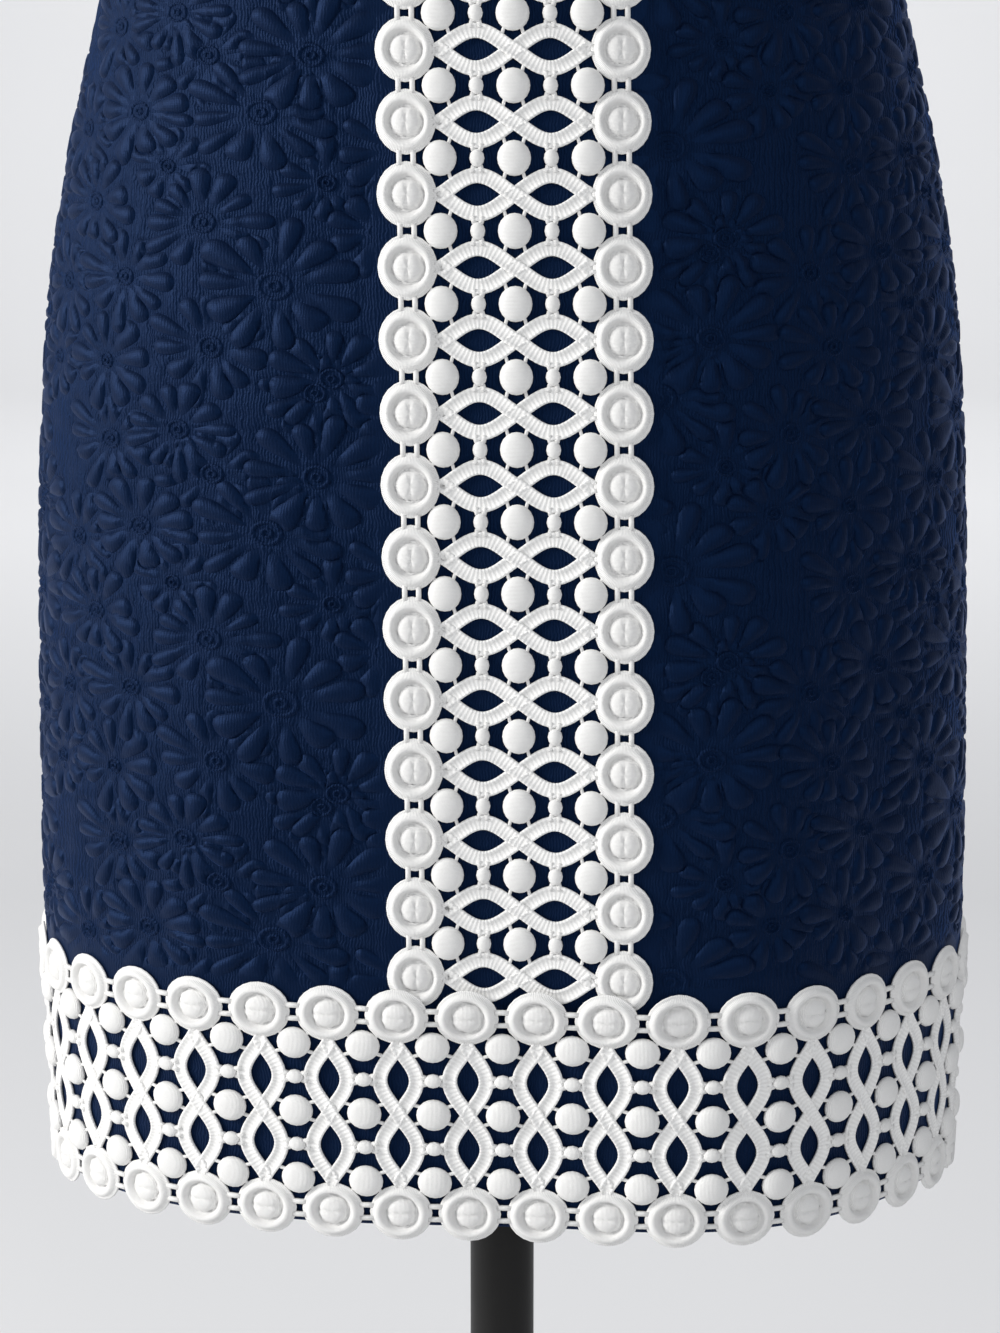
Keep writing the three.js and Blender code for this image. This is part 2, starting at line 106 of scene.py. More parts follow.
class Profile:
    """A smooth curve through a few points that never overshoots them."""

    def __init__(self, *points: tuple[float, float]) -> None:
        """Works out the tangent at each point.

        Args:
            points: (position, value) pairs, by rising position.
        """
        self.x, self.y = np.array(points, float).T
        slopes = np.diff(self.y) / np.diff(self.x)
        before, after = slopes[:-1], slopes[1:]
        both = before * after > 0
        total = np.where(both, before + after, 1.0)
        inner = np.where(both, 2 * before * after / total, 0.0)
        self.tangents = np.concatenate([slopes[:1], inner, slopes[-1:]])

    def __call__(self, at: Array) -> Array:
        """The curve's value at each position, held beyond its ends.

        Args:
            at: positions.

        Returns:
            The values there.
        """
        x = np.clip(np.asarray(at, float), self.x[0], self.x[-1])
        i = np.clip(np.searchsorted(self.x, x, side="left") - 1, 0, len(self.x) - 2)
        width = self.x[i + 1] - self.x[i]
        t = (x - self.x[i]) / width
        return (
            self.y[i] * (1 + 2 * t) * (1 - t) ** 2
            + self.tangents[i] * width * t * (1 - t) ** 2
            + self.y[i + 1] * t * t * (3 - 2 * t)
            + self.tangents[i + 1] * width * t * t * (t - 1)
        )


@dataclass
class BodyShape:
    """Half width, front depth, back depth and squareness of the sections at each height."""

    side: Profile
    front: Profile
    back: Profile
    squareness: Profile

    def radius(self, h: Array, angle: Array) -> Array:
        """How far the section reaches from the axis.

        Args:
            h: heights.
            angle: angles from the front towards +X.

        Returns:
            The distances.
        """
        n = self.squareness(h)
        depth = np.where(np.cos(angle) >= 0, self.front(h), self.back(h))
        across = np.abs(np.sin(angle) / self.side(h)) ** n
        return (across + np.abs(np.cos(angle) / depth) ** n) ** (-1 / n)

    def point(self, h: Array, angle: Array, swell: Array | float = 0.0) -> Array:
        """Points on the sections, swollen outwards.

        Args:
            h: heights.
            angle: angles from the front towards +X.
            swell: millimetres added to each radius.

        Returns:
            One row for each point.
        """
        h, angle = np.broadcast_arrays(np.asarray(h, float), np.asarray(angle, float))
        r = self.radius(h, angle) + swell
        return np.stack([r * np.sin(angle), -r * np.cos(angle), HEM_HEIGHT + h], -1)


DRESS_SHAPE = BodyShape(
    side=Profile(
        (0, 207), (150, 211), (290, 209), (380, 204), (450, 194), (526, 177), (600, 163),
        (650, 162), (735, 170), (850, 174), (905, 182), (SHOULDER_TIP, 180), (945, 127),
        (NECK_POINT, NECK_HALF_WIDTH),
    ),
    front=Profile(
        (0, 131), (200, 133), (345, 128), (450, 119), (526, 110), (600, 105), (705, 120),
        (760, 116), (820, 103), (870, 89), (SHOULDER_TIP, 68), (NECK_POINT, 46),
    ),
    back=Profile(
        (0, 134), (150, 136), (345, 134), (450, 123), (526, 110), (600, 99), (700, 105),
        (780, 112), (850, 108), (905, 93), (945, 70), (NECK_POINT, 54),
    ),
    squareness=Profile((0, 2.4), (600, 2.4), (870, 2.5), (NECK_POINT, 2.1)),
)
FORM_BOTTOM, FORM_NECK_TOP = 262.0, 1030.0
FORM_SHAPE = BodyShape(
    side=Profile(
        (FORM_BOTTOM, 148), (268, 160), (300, 172), (360, 176), (450, 163), (560, 131),
        (600, 128), (720, 150), (800, 158), (880, 172), (908, 175), (923, 168), (941, 116),
        (959, 74), (978, 61), (FORM_NECK_TOP, 57),
    ),
    front=Profile(
        (FORM_BOTTOM, 82), (268, 92), (300, 101), (380, 104), (450, 98), (560, 87), (610, 86),
        (705, 109), (760, 106), (820, 92), (870, 77), (915, 60), (957, 43), (985, 53),
        (FORM_NECK_TOP, 56),
    ),
    back=Profile(
        (FORM_BOTTOM, 86), (268, 98), (310, 113), (370, 116), (450, 102), (560, 78),
        (610, 78), (700, 90), (780, 99), (850, 95), (905, 80), (957, 50), (985, 56),
        (FORM_NECK_TOP, 57),
    ),
    squareness=Profile((FORM_BOTTOM, 2.2), (600, 2.2), (870, 2.4), (955, 2.1), (990, 2)),
)


class DressSurface:
    """The worn dress as one surface over height and angle, turned a little on its form."""

    bust_height = 9.0
    bust_angle = math.radians(36)
    full_side = math.radians(39)  # where the skirt is fullest
    turn = Profile(
        (0, math.radians(3.5)), (526, math.radians(2.1)), (UNDERARM, math.radians(0.7)),
        (870, 0),
    )
    flare = Profile((0, 18), (140, 18), (320, 9), (480, 0))

    def point(self, h: Array, angle: Array) -> Array:
        """Points on the surface.

        Args:
            h: heights.
            angle: angles from the panel's own centre front.

        Returns:
            One row for each point, in millimetres.
        """
        a = wrapped(np.asarray(angle) + self.turn(h))
        bust = bell(a, self.bust_angle, 0.36) + bell(a, -self.bust_angle, 0.36)
        swell = bust * self.bust_height * bell(h, 700, 62)
        return DRESS_SHAPE.point(h, a, swell + self.flare(h) * bell(a, self.full_side, 0.42))

    def normal(self, h: Array, angle: Array) -> Array:
        """Outward unit normals.

        Args:
            h: heights.
            angle: angles from the panel's own centre front.

        Returns:
            One row for each point.
        """
        across = self.point(h, angle + 0.004) - self.point(h, angle - 0.004)
        top = np.minimum(np.asarray(h) + 0.5, NECK_POINT)
        up = self.point(top, angle) - self.point(top - 1.0, angle)
        out = np.cross(across, up)
        return out / np.linalg.norm(out, axis=-1, keepdims=True)


SURFACE = DressSurface()


class FlatPattern:
    """Turns flat cloth coordinates (s, v) into height and angle on the dress, and back."""

    half_width = 330.0
    row_step = 2.5

    def __init__(self, centre: Centre) -> None:
        """Measures the surface along rows from the centre line.

        Args:
            centre: the line where s is zero.
        """
        self.centre = centre.value
        self.heights = np.arange(-5.0, NECK_POINT + 0.1, self.row_step)
        self.angles = self.centre + np.radians(np.linspace(-112, 112, 897))
        grid = np.meshgrid(self.heights, self.angles, indexing="ij")
        arcs = arc_lengths(SURFACE.point(*grid))
        self.arcs = arcs - arcs[:, [len(self.angles) // 2]]
        across = np.arange(-self.half_width, self.half_width + 0.1)
        self.angle_table = np.array([np.interp(across, row, self.angles) for row in self.arcs])
        slope = np.gradient(DRESS_SHAPE.side(self.heights), self.heights)
        climb = np.sqrt(1 + slope**2)
        rise = np.concatenate([[0], np.cumsum((climb[1:] + climb[:-1]) / 2 * self.row_step)])
        self.lengths = rise - np.interp(0.0, self.heights, rise)

    def height(self, v: Array) -> Array:
        """The height on the dress at this length up the cloth."""
        return np.interp(v, self.lengths, self.heights)

    def length(self, h: Array) -> Array:
        """The length up the cloth at this height on the dress."""
        return np.interp(h, self.heights, self.lengths)

    def _between(self, table: Array, row: Array, column: Array) -> Array:
        """Reads a table between its rows and columns.

        Args:
            table: the values.
            row: row numbers, with fractions.
            column: column numbers, with fractions.

        Returns:
            The values there.
        """
        i = np.clip(row.astype(int), 0, table.shape[0] - 2)
        j = np.clip(column.astype(int), 0, table.shape[1] - 2)
        a, b = np.clip(row - i, 0, 1), np.clip(column - j, 0, 1)
        low = table[i, j] * (1 - b) + table[i, j + 1] * b
        high = table[i + 1, j] * (1 - b) + table[i + 1, j + 1] * b
        return low * (1 - a) + high * a

    def angle(self, s: Array, h: Array) -> Array:
        """The angle on the dress at s millimetres from the centre line.

        Args:
            s: signed arc lengths.
            h: heights.

        Returns:
            The angles.
        """
        s, h = np.broadcast_arrays(np.asarray(s, float), np.asarray(h, float))
        row = (h - self.heights[0]) / self.row_step
        return self._between(self.angle_table, row, s + self.half_width)

    def arc(self, h: Array, angle: Array) -> Array:
        """How far an angle lies from the centre line along the cloth.

        Args:
            h: heights.
            angle: angles on the dress.

        Returns:
            Signed arc lengths.
        """
        h, angle = np.broadcast_arrays(np.asarray(h, float), np.asarray(angle, float))
        column = (angle - self.angles[0]) / (self.angles[1] - self.angles[0])
        return self._between(self.arcs, (h - self.heights[0]) / self.row_step, column)

    def lay(self, s: Array, v: Array, lift: Array | float) -> Array:
        """Lays flat points on the worn dress.

        Args:
            s: across the pattern.
            v: up the pattern.
            lift: how far each stands off the surface.

        Returns:
            One row for each point, in millimetres.
        """
        h = self.height(v)
        angle = self.angle(s, h)
        off = np.asarray(lift) + drape(s, v, self.centre)
        return SURFACE.point(h, angle) + SURFACE.normal(h, angle) * off[..., None]


@dataclass(frozen=True)
class Crease:
    """A soft trough or ridge in the worn cloth, from one flat point to another."""

    start: tuple[float, float]
    end: tuple[float, float]
    width: float
    height: float

    def offset(self, s: Array, v: Array) -> Array:
        """How far it moves the cloth out.

        Args:
            s: across the pattern.
            v: up the pattern.

        Returns:
            Signed offsets, which taper off at both ends.
        """
        a, b = np.array(self.start), np.array(self.end)
        run = b - a
        length = np.hypot(*run)
        along = ((s - a[0]) * run[0] + (v - a[1]) * run[1]) / length**2
        aside = ((s - a[0]) * run[1] - (v - a[1]) * run[0]) / length
        taper = bell(along, 0.5, 0.42)
        return self.height * np.exp(-((aside / self.width) ** 2)) * taper


FRONT_CREASES = (
    Crease((-215, 560), (-90, 640), 9, -1.1),
    Crease((215, 570), (95, 655), 9, -1.1),
    Crease((-190, 800), (-120, 735), 7, -0.9),
    Crease((190, 800), (120, 735), 7, -0.9),
    Crease((-150, 20), (-120, 330), 22, 2.2),
    Crease((182, 20), (150, 330), 20, -2.4),
    Crease((250, 20), (212, 300), 18, 1.8),
)
BACK_CREASES = (
    Crease((-150, 560), (-30, 590), 9, -1.3),
    Crease((150, 560), (30, 590), 9, -1.3),
    Crease((-160, 610), (-45, 628), 8, -1.0),
    Crease((160, 605), (45, 625), 8, -1.0),
    Crease((-150, 20), (-110, 330), 24, 2.2),
    Crease((150, 20), (120, 330), 24, 2.0),
    Crease((-60, 20), (-50, 300), 26, -1.8),
    Crease((70, 20), (55, 300), 26, -1.8),
)


def wrapped(angle: Array) -> Array:
    """An angle brought between half a turn below zero and half a turn above."""
    return (angle + math.pi) % (2 * math.pi) - math.pi


def drape(s: Array, v: Array, centre: float) -> Array:
    """How far the creases move the cloth out.

    Args:
        s: across the pattern.
        v: up the pattern.
        centre: the pattern's centre angle.

    Returns:
        Signed offsets.
    """
    creases = FRONT_CREASES if centre == Centre.FRONT.value else BACK_CREASES
    s, v = np.broadcast_arrays(np.asarray(s, float), np.asarray(v, float))
    return sum((crease.offset(s, v) for crease in creases), np.zeros_like(s))


# ---- Meshes ----


def new_mesh(name: str, points: Array, faces: list | Array) -> bpy.types.Mesh:
    """A smooth mesh from points in millimetres.

    Args:
        name: its name.
        points: one row for each vertex.
        faces: the vertex numbers of each face.

    Returns:
        The mesh.
    """
    mesh = bpy.data.meshes.new(name)
    mesh.from_pydata((np.asarray(points) * MM).tolist(), [], [list(f) for f in faces])
    mesh.shade_smooth()
    mesh.update()
    return mesh


def add_piece(name: str, mesh: bpy.types.Mesh) -> bpy.types.Object:
    """Puts a mesh into the scene as an object at the origin."""
    piece = bpy.data.objects.new(name, mesh)
    bpy.context.scene.collection.objects.link(piece)
    return piece


def declare(piece: bpy.types.Object, node: str) -> None:
    """Says that a piece rides on the dress, which node it replaces."""
    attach(piece, "dress")
    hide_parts(node)


def grid_faces(rows: int, columns: int, closed: bool) -> list[list[int]]:
    """The faces of a grid of points, row by row.

    Args:
        rows: how many rows it has.
        columns: how many points a row has.
        closed: whether each row's last point joins its first.

    Returns:
        The corners of each face.
    """
    faces = []
    for low in range(0, (rows - 1) * columns, columns):
        for i in range(columns if closed else columns - 1):
            j = (i + 1) % columns
            faces.append([low + i, low + j, low + columns + j, low + columns + i])
    return faces


def set_corner_uv(mesh: bpy.types.Mesh, name: str, corners: Array) -> None:
    """Gives a mesh a UV map from one row for each face corner."""
    mesh.uv_layers.new(name=name).data.foreach_set("uv", np.asarray(corners, float).ravel())


def corner_vertices(mesh: bpy.types.Mesh) -> Array:
    """The vertex number of each face corner."""
    vertices = np.zeros(len(mesh.loops), np.int32)
    mesh.loops.foreach_get("vertex_index", vertices)
    return vertices


def revolve(profile: list[tuple[float, float]], sides: int, closed: bool) -> tuple[Array, list]:
    """A turned shape round the Z axis.

    Args:
        profile: (radius, z) points; a closed one runs round its own section.
        sides: how many steps in a turn.
        closed: whether the last point joins the first.

    Returns:
        The points and faces.
    """
    angles = np.arange(sides) * 2 * math.pi / sides
    rings, points = [], []
    for radius, z in profile:
        start = sum(len(p) for p in points)
        if radius < 1e-6:
            points.append(np.array([[0.0, 0.0, z]]))
            rings.append([start] * sides)
        else:
            ring = [radius * np.cos(angles), radius * np.sin(angles), np.full(sides, z)]
            points.append(np.stack(ring, 1))
            rings.append(list(range(start, start + sides)))
    if closed:
        rings.append(rings[0])
    faces = []
    for low, high in zip(rings, rings[1:]):
        for i in range(sides):
            j = (i + 1) % sides
            face = list(dict.fromkeys([low[i], low[j], high[j], high[i]]))
            if len(face) > 2:
                faces.append(face)
    return np.concatenate(points), faces


def arc_lengths(points: Array) -> Array:
    """How far along its line each point is, for lines of points or rows of them."""
    steps = np.linalg.norm(np.diff(points, axis=-2), axis=-1)
    return np.concatenate([np.zeros_like(steps[..., :1]), np.cumsum(steps, axis=-1)], axis=-1)


def rounded(profile: list[tuple[float, float]], radius: float) -> list[tuple[float, float]]:
    """A profile with its inner corners rounded by short arcs.

    Args:
        profile: the corner points.
        radius: how far from each corner its arc starts, at most a third of a side.

    Returns:
        The points of the rounded profile.
    """
    result = [profile[0]]
    for before, corner, after in zip(profile, profile[1:], profile[2:]):
        p, q, r = np.array(before), np.array(corner), np.array(after)
        reach = min(radius, np.linalg.norm(p - q) / 3, np.linalg.norm(r - q) / 3)
        start = q + (p - q) / np.linalg.norm(p - q) * reach
        end = q + (r - q) / np.linalg.norm(r - q) * reach
        for t in (0.0, 0.33, 0.67, 1.0):
            result.append(tuple((1 - t) ** 2 * start + 2 * t * (1 - t) * q + t * t * end))
    return [*result, profile[-1]]


# ---- Node trees ----


class Sketch:
    """Short ways to draw in a node tree."""

    def __init__(self, tree: bpy.types.NodeTree) -> None:
        """Keeps the tree to draw in."""
        self.tree = tree

    def add(self, kind: str, links: dict | None = None, **settings: object) -> bpy.types.Node:
        """Adds a node.

        Args:
            kind: its type.
            links: a socket or a value for each of its inputs, by name or number.
            settings: its own properties.

        Returns:
            The node.
        """
        node = self.tree.nodes.new(kind)
        for key, value in settings.items():
            setattr(node, key, value)
        self.feed(node, links or {})
        return node

    def feed(self, node: bpy.types.Node, links: dict) -> None:
        """Feeds a node's inputs.

        Args:
            node: the node.
            links: a socket or a value for each input, by name or number.
        """
        for key, value in links.items():
            if isinstance(value, bpy.types.NodeSocket):
                self.tree.links.new(value, node.inputs[key])
            else:
                node.inputs[key].default_value = value

    def math(self, operation: str, a: object, b: object = 0.0) -> bpy.types.NodeSocket:
        """The result of a Math node."""
        return self.add("ShaderNodeMath", {0: a, 1: b}, operation=operation).outputs[0]

    def vector(self, operation: str, **links: object) -> bpy.types.NodeSocket:
        """The result of a Vector Math node, with its inputs a, b and Scale."""
        numbered = {{"a": 0, "b": 1}.get(key, key): value for key, value in links.items()}
        return self.add("ShaderNodeVectorMath", numbered, operation=operation).outputs[0]

    def split(self, place: object) -> bpy.types.NodeOutputs:
        """A vector's X, Y and Z."""
        return self.add("ShaderNodeSeparateXYZ", {0: place}).outputs


class NodeTree(Sketch):
    """A Geometry Nodes tree with named inputs."""

    def __init__(self, name: str, inputs: dict[str, str]) -> None:
        """Makes the tree with its group input and output.

        Args:
            name: the tree's name.
            inputs: socket kinds by input name, past the geometry itself.
        """
        super().__init__(bpy.data.node_groups.new(name, "GeometryNodeTree"))
        face = self.tree.interface
        for label, kind in {"Geometry": "Geometry", **inputs}.items():
            face.new_socket(label, in_out="INPUT", socket_type="NodeSocket" + kind)
        face.new_socket("Geometry", in_out="OUTPUT", socket_type="NodeSocketGeometry")
        self.given = self.tree.nodes.new("NodeGroupInput").outputs
        self.result = self.tree.nodes.new("NodeGroupOutput").inputs["Geometry"]

    def finish(self, geometry: bpy.types.NodeSocket, material: bpy.types.NodeSocket) -> None:
        """Ends the tree in Realize Instances and Set Material.

        Args:
            geometry: what the tree has made.
            material: the material's socket.
        """
        real = self.add("GeometryNodeRealizeInstances", {"Geometry": geometry}).outputs[0]
        dressed = self.add("GeometryNodeSetMaterial", {"Geometry": real, "Material": material})
        self.tree.links.new(dressed.outputs[0], self.result)

    def grow(self, name: str, start: bpy.types.Mesh, values: dict) -> bpy.types.Mesh:
        """Runs the tree on a mesh and returns its result as a plain mesh.

        Args:
            name: the new mesh's name.
            start: the mesh that it runs on.
            values: the inputs by name; the objects among them are removed afterwards.

        Returns:
            The mesh.
        """
        base = add_piece("base", start)
        modifier = base.modifiers.new("grow", "NODES")
        modifier.node_group = self.tree
        for item in self.tree.interface.items_tree:
            if item.in_out == "INPUT" and item.name in values:
                modifier[item.identifier] = values[item.name]
        base.update_tag()
        graph = bpy.context.evaluated_depsgraph_get()
        mesh = bpy.data.meshes.new_from_object(base.evaluated_get(graph))
        mesh.name = name
        base.modifiers.remove(modifier)
        for spare in (base, *values.values()):
            if isinstance(spare, bpy.types.Object):
                bpy.data.objects.remove(spare)
        return mesh


def repeat_tree() -> NodeTree:
    """The tree that repeats a motif along a straight line.

    Returns:
        The tree.
    """
    made = NodeTree("RepeatMotif", {"Motif": "Object", "Repeats": "Int", "Pitch": "Float",
                                    "Start": "Float", "Material": "Material"})
    step = made.add("ShaderNodeCombineXYZ", {"Y": made.given["Pitch"]})
    start = made.add("ShaderNodeCombineXYZ", {"Y": made.given["Start"]})
    links = {"Count": made.given["Repeats"], "Start Location": start.outputs[0],
             "Offset": step.outputs[0]}
    line = made.add("GeometryNodeMeshLine", links, mode="OFFSET").outputs[0]
    motif = made.add("GeometryNodeObjectInfo", {"Object": made.given["Motif"]})
    links = {"Points": line, "Instance": motif.outputs["Geometry"]}
    copies = made.add("GeometryNodeInstanceOnPoints", links).outputs[0]
    made.finish(copies, made.given["Material"])
    return made


def wrap_tree() -> NodeTree:
    """The tree that wraps a flat piece over a guide surface.

    The guide's UV map, band, says which flat point each of its points carries, and its
    attribute, out, which way is outwards there. The flat piece's Z stands off the guide.

    Returns:
        The tree.
    """
    made = NodeTree("WrapOnGuide", {"Guide": "Object", "Width": "Float", "Length": "Float",
                                    "Lift": "Float", "Material": "Material"})
    guide = made.add("GeometryNodeObjectInfo", {"Object": made.given["Guide"]})
    band, out = (made.add("GeometryNodeInputNamedAttribute", {"Name": name},
                          data_type="FLOAT_VECTOR").outputs["Attribute"]
                 for name in ("band", "out"))
    place = made.add("GeometryNodeInputPosition").outputs[0]
    parts = made.split(place)
    across = made.math("DIVIDE", parts["X"], made.given["Width"])
    along = made.math("DIVIDE", parts["Y"], made.given["Length"])
    where = made.add("ShaderNodeCombineXYZ", {"X": across, "Y": along}).outputs[0]
    foot, way = (made.add("GeometryNodeSampleUVSurface",
                          {"Mesh": guide.outputs["Geometry"], "Value": value,
                           "Source UV Map": band, "Sample UV": where},
                          data_type="FLOAT_VECTOR").outputs["Value"]
                 for value in (place, out))
    lift = made.math("ADD", parts["Z"], made.given["Lift"])
    moved = made.vector("ADD", a=foot, b=made.vector("SCALE", a=way, Scale=lift))
    links = {"Geometry": made.given["Geometry"], "Position": moved}
    made.finish(made.add("GeometryNodeSetPosition", links).outputs[0], made.given["Material"])
    return made


# ---- Finishes ----


class ShaderSketch(Sketch):
    """Short ways to draw a finish."""

    def here(self) -> bpy.types.NodeSocket:
        """The Object coordinates."""
        return self.add("ShaderNodeTexCoord").outputs["Object"]

    def ramp(self, factor: object, low: float, high: float) -> bpy.types.NodeSocket:
        """A factor spread from low..high to 0..1."""
        links = {"Value": factor, "From Min": low, "From Max": high}
        return self.add("ShaderNodeMapRange", links).outputs[0]

    def mix(self, factor: object, a: object, b: object,
            blend: str = "MIX") -> bpy.types.NodeSocket:
        """A colour between two others, or their product."""
        links = {0: factor, 6: a, 7: b}
        return self.add("ShaderNodeMix", links, data_type="RGBA", blend_type=blend).outputs[2]

    def noise(self, at: object, scale: float, detail: float = 3.0) -> bpy.types.NodeSocket:
        """A noise texture's factor."""
        links = {"Vector": at, "Scale": scale, "Detail": detail}
        return self.add("ShaderNodeTexNoise", links).outputs["Fac"]

    def bump(self, height: object, depth: float, strength: float) -> bpy.types.NodeSocket:
        """A normal bumped by a height, depth metres deep."""
        links = {"Height": height, "Distance": depth, "Strength": strength}
        return self.add("ShaderNodeBump", links).outputs[0]

    def group(self, tree: bpy.types.NodeTree, links: dict) -> bpy.types.NodeSocket:
        """The result of a shader group with its inputs fed."""
        node = self.add("ShaderNodeGroup", node_tree=tree)
        self.feed(node, links)
        return node.outputs[0]


def shader_group(name: str, inputs: dict[str, float], output: str) -> tuple:
    """A shader node group with a vector input and named values.

    Args:
        name: the group's name.
        inputs: default values by input name, past the vector Where.
        output: the name of its output.

    Returns:
        The group, a sketch to draw in it, its given sockets and its result socket.
    """
    group = bpy.data.node_groups.new(name, "ShaderNodeTree")
    face = group.interface
    face.new_socket("Where", in_out="INPUT", socket_type="NodeSocketVector")
    for label, value in inputs.items():
        socket = face.new_socket(label, in_out="INPUT", socket_type="NodeSocketFloat")
        socket.default_value = value
    face.new_socket(output, in_out="OUTPUT", socket_type="NodeSocketFloat")
    given = group.nodes.new("NodeGroupInput").outputs
    return group, ShaderSketch(group), given, group.nodes.new("NodeGroupOutput").inputs[0]


@cache
def mottle_group() -> bpy.types.NodeTree:
    """Slow and fine unevenness, from -1 to 1, that every finish uses for its colour.

    Returns:
        The group, with inputs Where, Broad and Fine and output Value.
    """
    scales = {"Broad": 20.0, "Fine": 400.0}
    group, draw, given, result = shader_group("Mottle", scales, "Value")
    broad, fine = (
        draw.add("ShaderNodeTexNoise", {"Vector": given["Where"], "Scale": given[name]})
        for name in scales
    )
    both = draw.math("ADD", broad.outputs["Fac"], fine.outputs["Fac"])
    group.links.new(draw.math("SUBTRACT", both, 1.0), result)
    return group


@cache
def weave_group() -> bpy.types.NodeTree:
    """A plain weave's height over a flat pattern, from its thread count.

    Returns:
        The group, with inputs Where (in metres) and Threads (a metre) and output Height.
    """
    group, draw, given, result = shader_group("Weave", {"Threads": 1400.0}, "Height")
    parts = draw.split(given["Where"])
    turns = draw.math("MULTIPLY", given["Threads"], math.pi)
    warp, weft = (draw.math("SINE", draw.math("MULTIPLY", parts[way], turns)) for way in "XY")
    group.links.new(draw.math("ABSOLUTE", draw.math("MULTIPLY", warp, weft)), result)
    return group


@dataclass(frozen=True)
class Finish:
    """What every finish shares: a colour, a roughness and how uneven the colour is."""

    name: str
    colour: tuple[float, float, float]
    roughness: float
    uneven: float = 0.15

    def build(self) -> bpy.types.Material:
        """Makes the material.

        Returns:
            The material, painted on its Principled shader.
        """
        material = bpy.data.materials.new(self.name)
        material.use_nodes = True
        draw = ShaderSketch(material.node_tree)
        values = {"Roughness": self.roughness, **self.paint(draw)}
        draw.feed(material.node_tree.nodes["Principled BSDF"], values)
        return material

    def paint(self, draw: ShaderSketch) -> dict:
        """What the shader's inputs get."""
        raise NotImplementedError

    def tint(self, draw: ShaderSketch, where: object, broad: float, fine: float) -> object:
        """The colour made uneven.

        Args:
            draw: the material's sketch.
            where: the coordinates it varies over.
            broad: scale of its slow changes.
            fine: scale of its small changes.

        Returns:
            A colour socket.
        """
        mottle = draw.group(mottle_group(), {"Where": where, "Broad": broad, "Fine": fine})
        dark = (*(c * (1 - self.uneven) for c in self.colour), 1.0)
        light = (*(min(1.0, c * (1 + self.uneven)) for c in self.colour), 1.0)
        return draw.mix(draw.ramp(mottle, -0.5, 0.5), dark, light)


@dataclass(frozen=True)
class Cloque(Finish):
    """The puffed jacquard: satin petals on a ground of fine crinkled ribs."""

    petal_colour: tuple[float, float, float] = (0.0009, 0.0028, 0.0100)
    sheen: float = 0.2

    def paint(self, draw: ShaderSketch) -> dict:
        """Paints it from the flat pattern's UV map and the petal attribute.

        Args:
            draw: the material's sketch.

        Returns:
            A value or socket for each of the shader's inputs.
        """
        flat = draw.add("ShaderNodeUVMap", uv_map="cut").outputs[0]
        petal = draw.add("ShaderNodeAttribute", attribute_name="petal").outputs["Fac"]
        colour = draw.mix(petal, self.tint(draw, flat, 14.0, 900.0), (*self.petal_colour, 1.0))
        warp = draw.add("ShaderNodeTexNoise", {"Vector": flat, "Scale": 130.0, "Detail": 2.0})
        pushed = draw.vector("SCALE", a=warp.outputs["Color"], Scale=0.0034)
        ribs = draw.add(
            "ShaderNodeTexWave",
            {"Vector": draw.vector("ADD", a=flat, b=pushed), "Scale": 230.0,
             "Distortion": 2.4, "Detail": 2.0, "Detail Scale": 2.2},
            wave_type="BANDS", bands_direction="X", wave_profile="SIN",
        ).outputs["Fac"]
        both = draw.math("ADD", draw.math("MULTIPLY", ribs, 0.65), draw.noise(flat, 700.0, 4.0))
        weave = draw.group(weave_group(), {"Where": flat, "Threads": 1500.0})
        height = draw.math("MULTIPLY", both, draw.ramp(petal, 1.35, 0.0))
        height = draw.math("ADD", height, draw.math("MULTIPLY", weave, 0.12))
        # painted shade in the ribs' hollows and a painted highlight on their crests, multiplied
        # into the colour
        painted_rib_shade_and_highlight = draw.mix(draw.ramp(both, 0.2, 1.3), (0.45, 0.45, 0.5, 1.0), (1.25, 1.25, 1.22, 1.0))
        smoother = draw.math("MULTIPLY", draw.ramp(petal, 0.0, 1.0), -0.06)
        return {
            "Base Color": draw.mix(1.0, colour, painted_rib_shade_and_highlight, "MULTIPLY"),
            "Normal": draw.bump(height, 0.0004, 0.7),
            "Roughness": draw.math("ADD", smoother, self.roughness),
            "Sheen Weight": self.sheen, "Sheen Roughness": 0.45,
            "Sheen Tint": (0.14, 0.34, 1.0, 1.0),
            "Specular IOR Level": 0.34, "Specular Tint": (0.1, 0.32, 1.0, 1.0),
        }


@dataclass(frozen=True)
class LaceThread(Finish):
    """White cotton embroidery, with its wrapped threads along the motif's UV map."""

    pitch: float = 0.55

    def paint(self, draw: ShaderSketch) -> dict:
        """Paints it with the threads' ridges along its UV map and painted shade between them.

        Args:
            draw: the material's sketch.

        Returns:
            A value or socket for each of the shader's inputs.
        """
        here = draw.here()
        thread = draw.add("ShaderNodeUVMap", uv_map="thread").outputs[0]
        turns = draw.math("MULTIPLY", draw.split(thread)["X"], 2 * math.pi / (self.pitch * MM))
        ridge = draw.ramp(draw.math("SINE", turns), -1.0, 1.0)
        fibre = draw.math("MULTIPLY", draw.noise(here, 2600.0), 0.7)
        height = draw.math("ADD", ridge, fibre)
        # painted shade: the colour darkened in the grooves between the wrapped threads
        painted_groove_shade = draw.mix(draw.ramp(height, 0.1, 1.2), (0.88, 0.875, 0.87, 1), (1, 1, 1, 1))
        base = self.tint(draw, here, 60.0, 1500.0)
        return {
            "Base Color": draw.mix(1.0, base, painted_groove_shade, "MULTIPLY"),
            "Normal": draw.bump(height, 0.0002, 0.7),
            "Sheen Weight": 0.15, "Specular IOR Level": 0.25,
        }


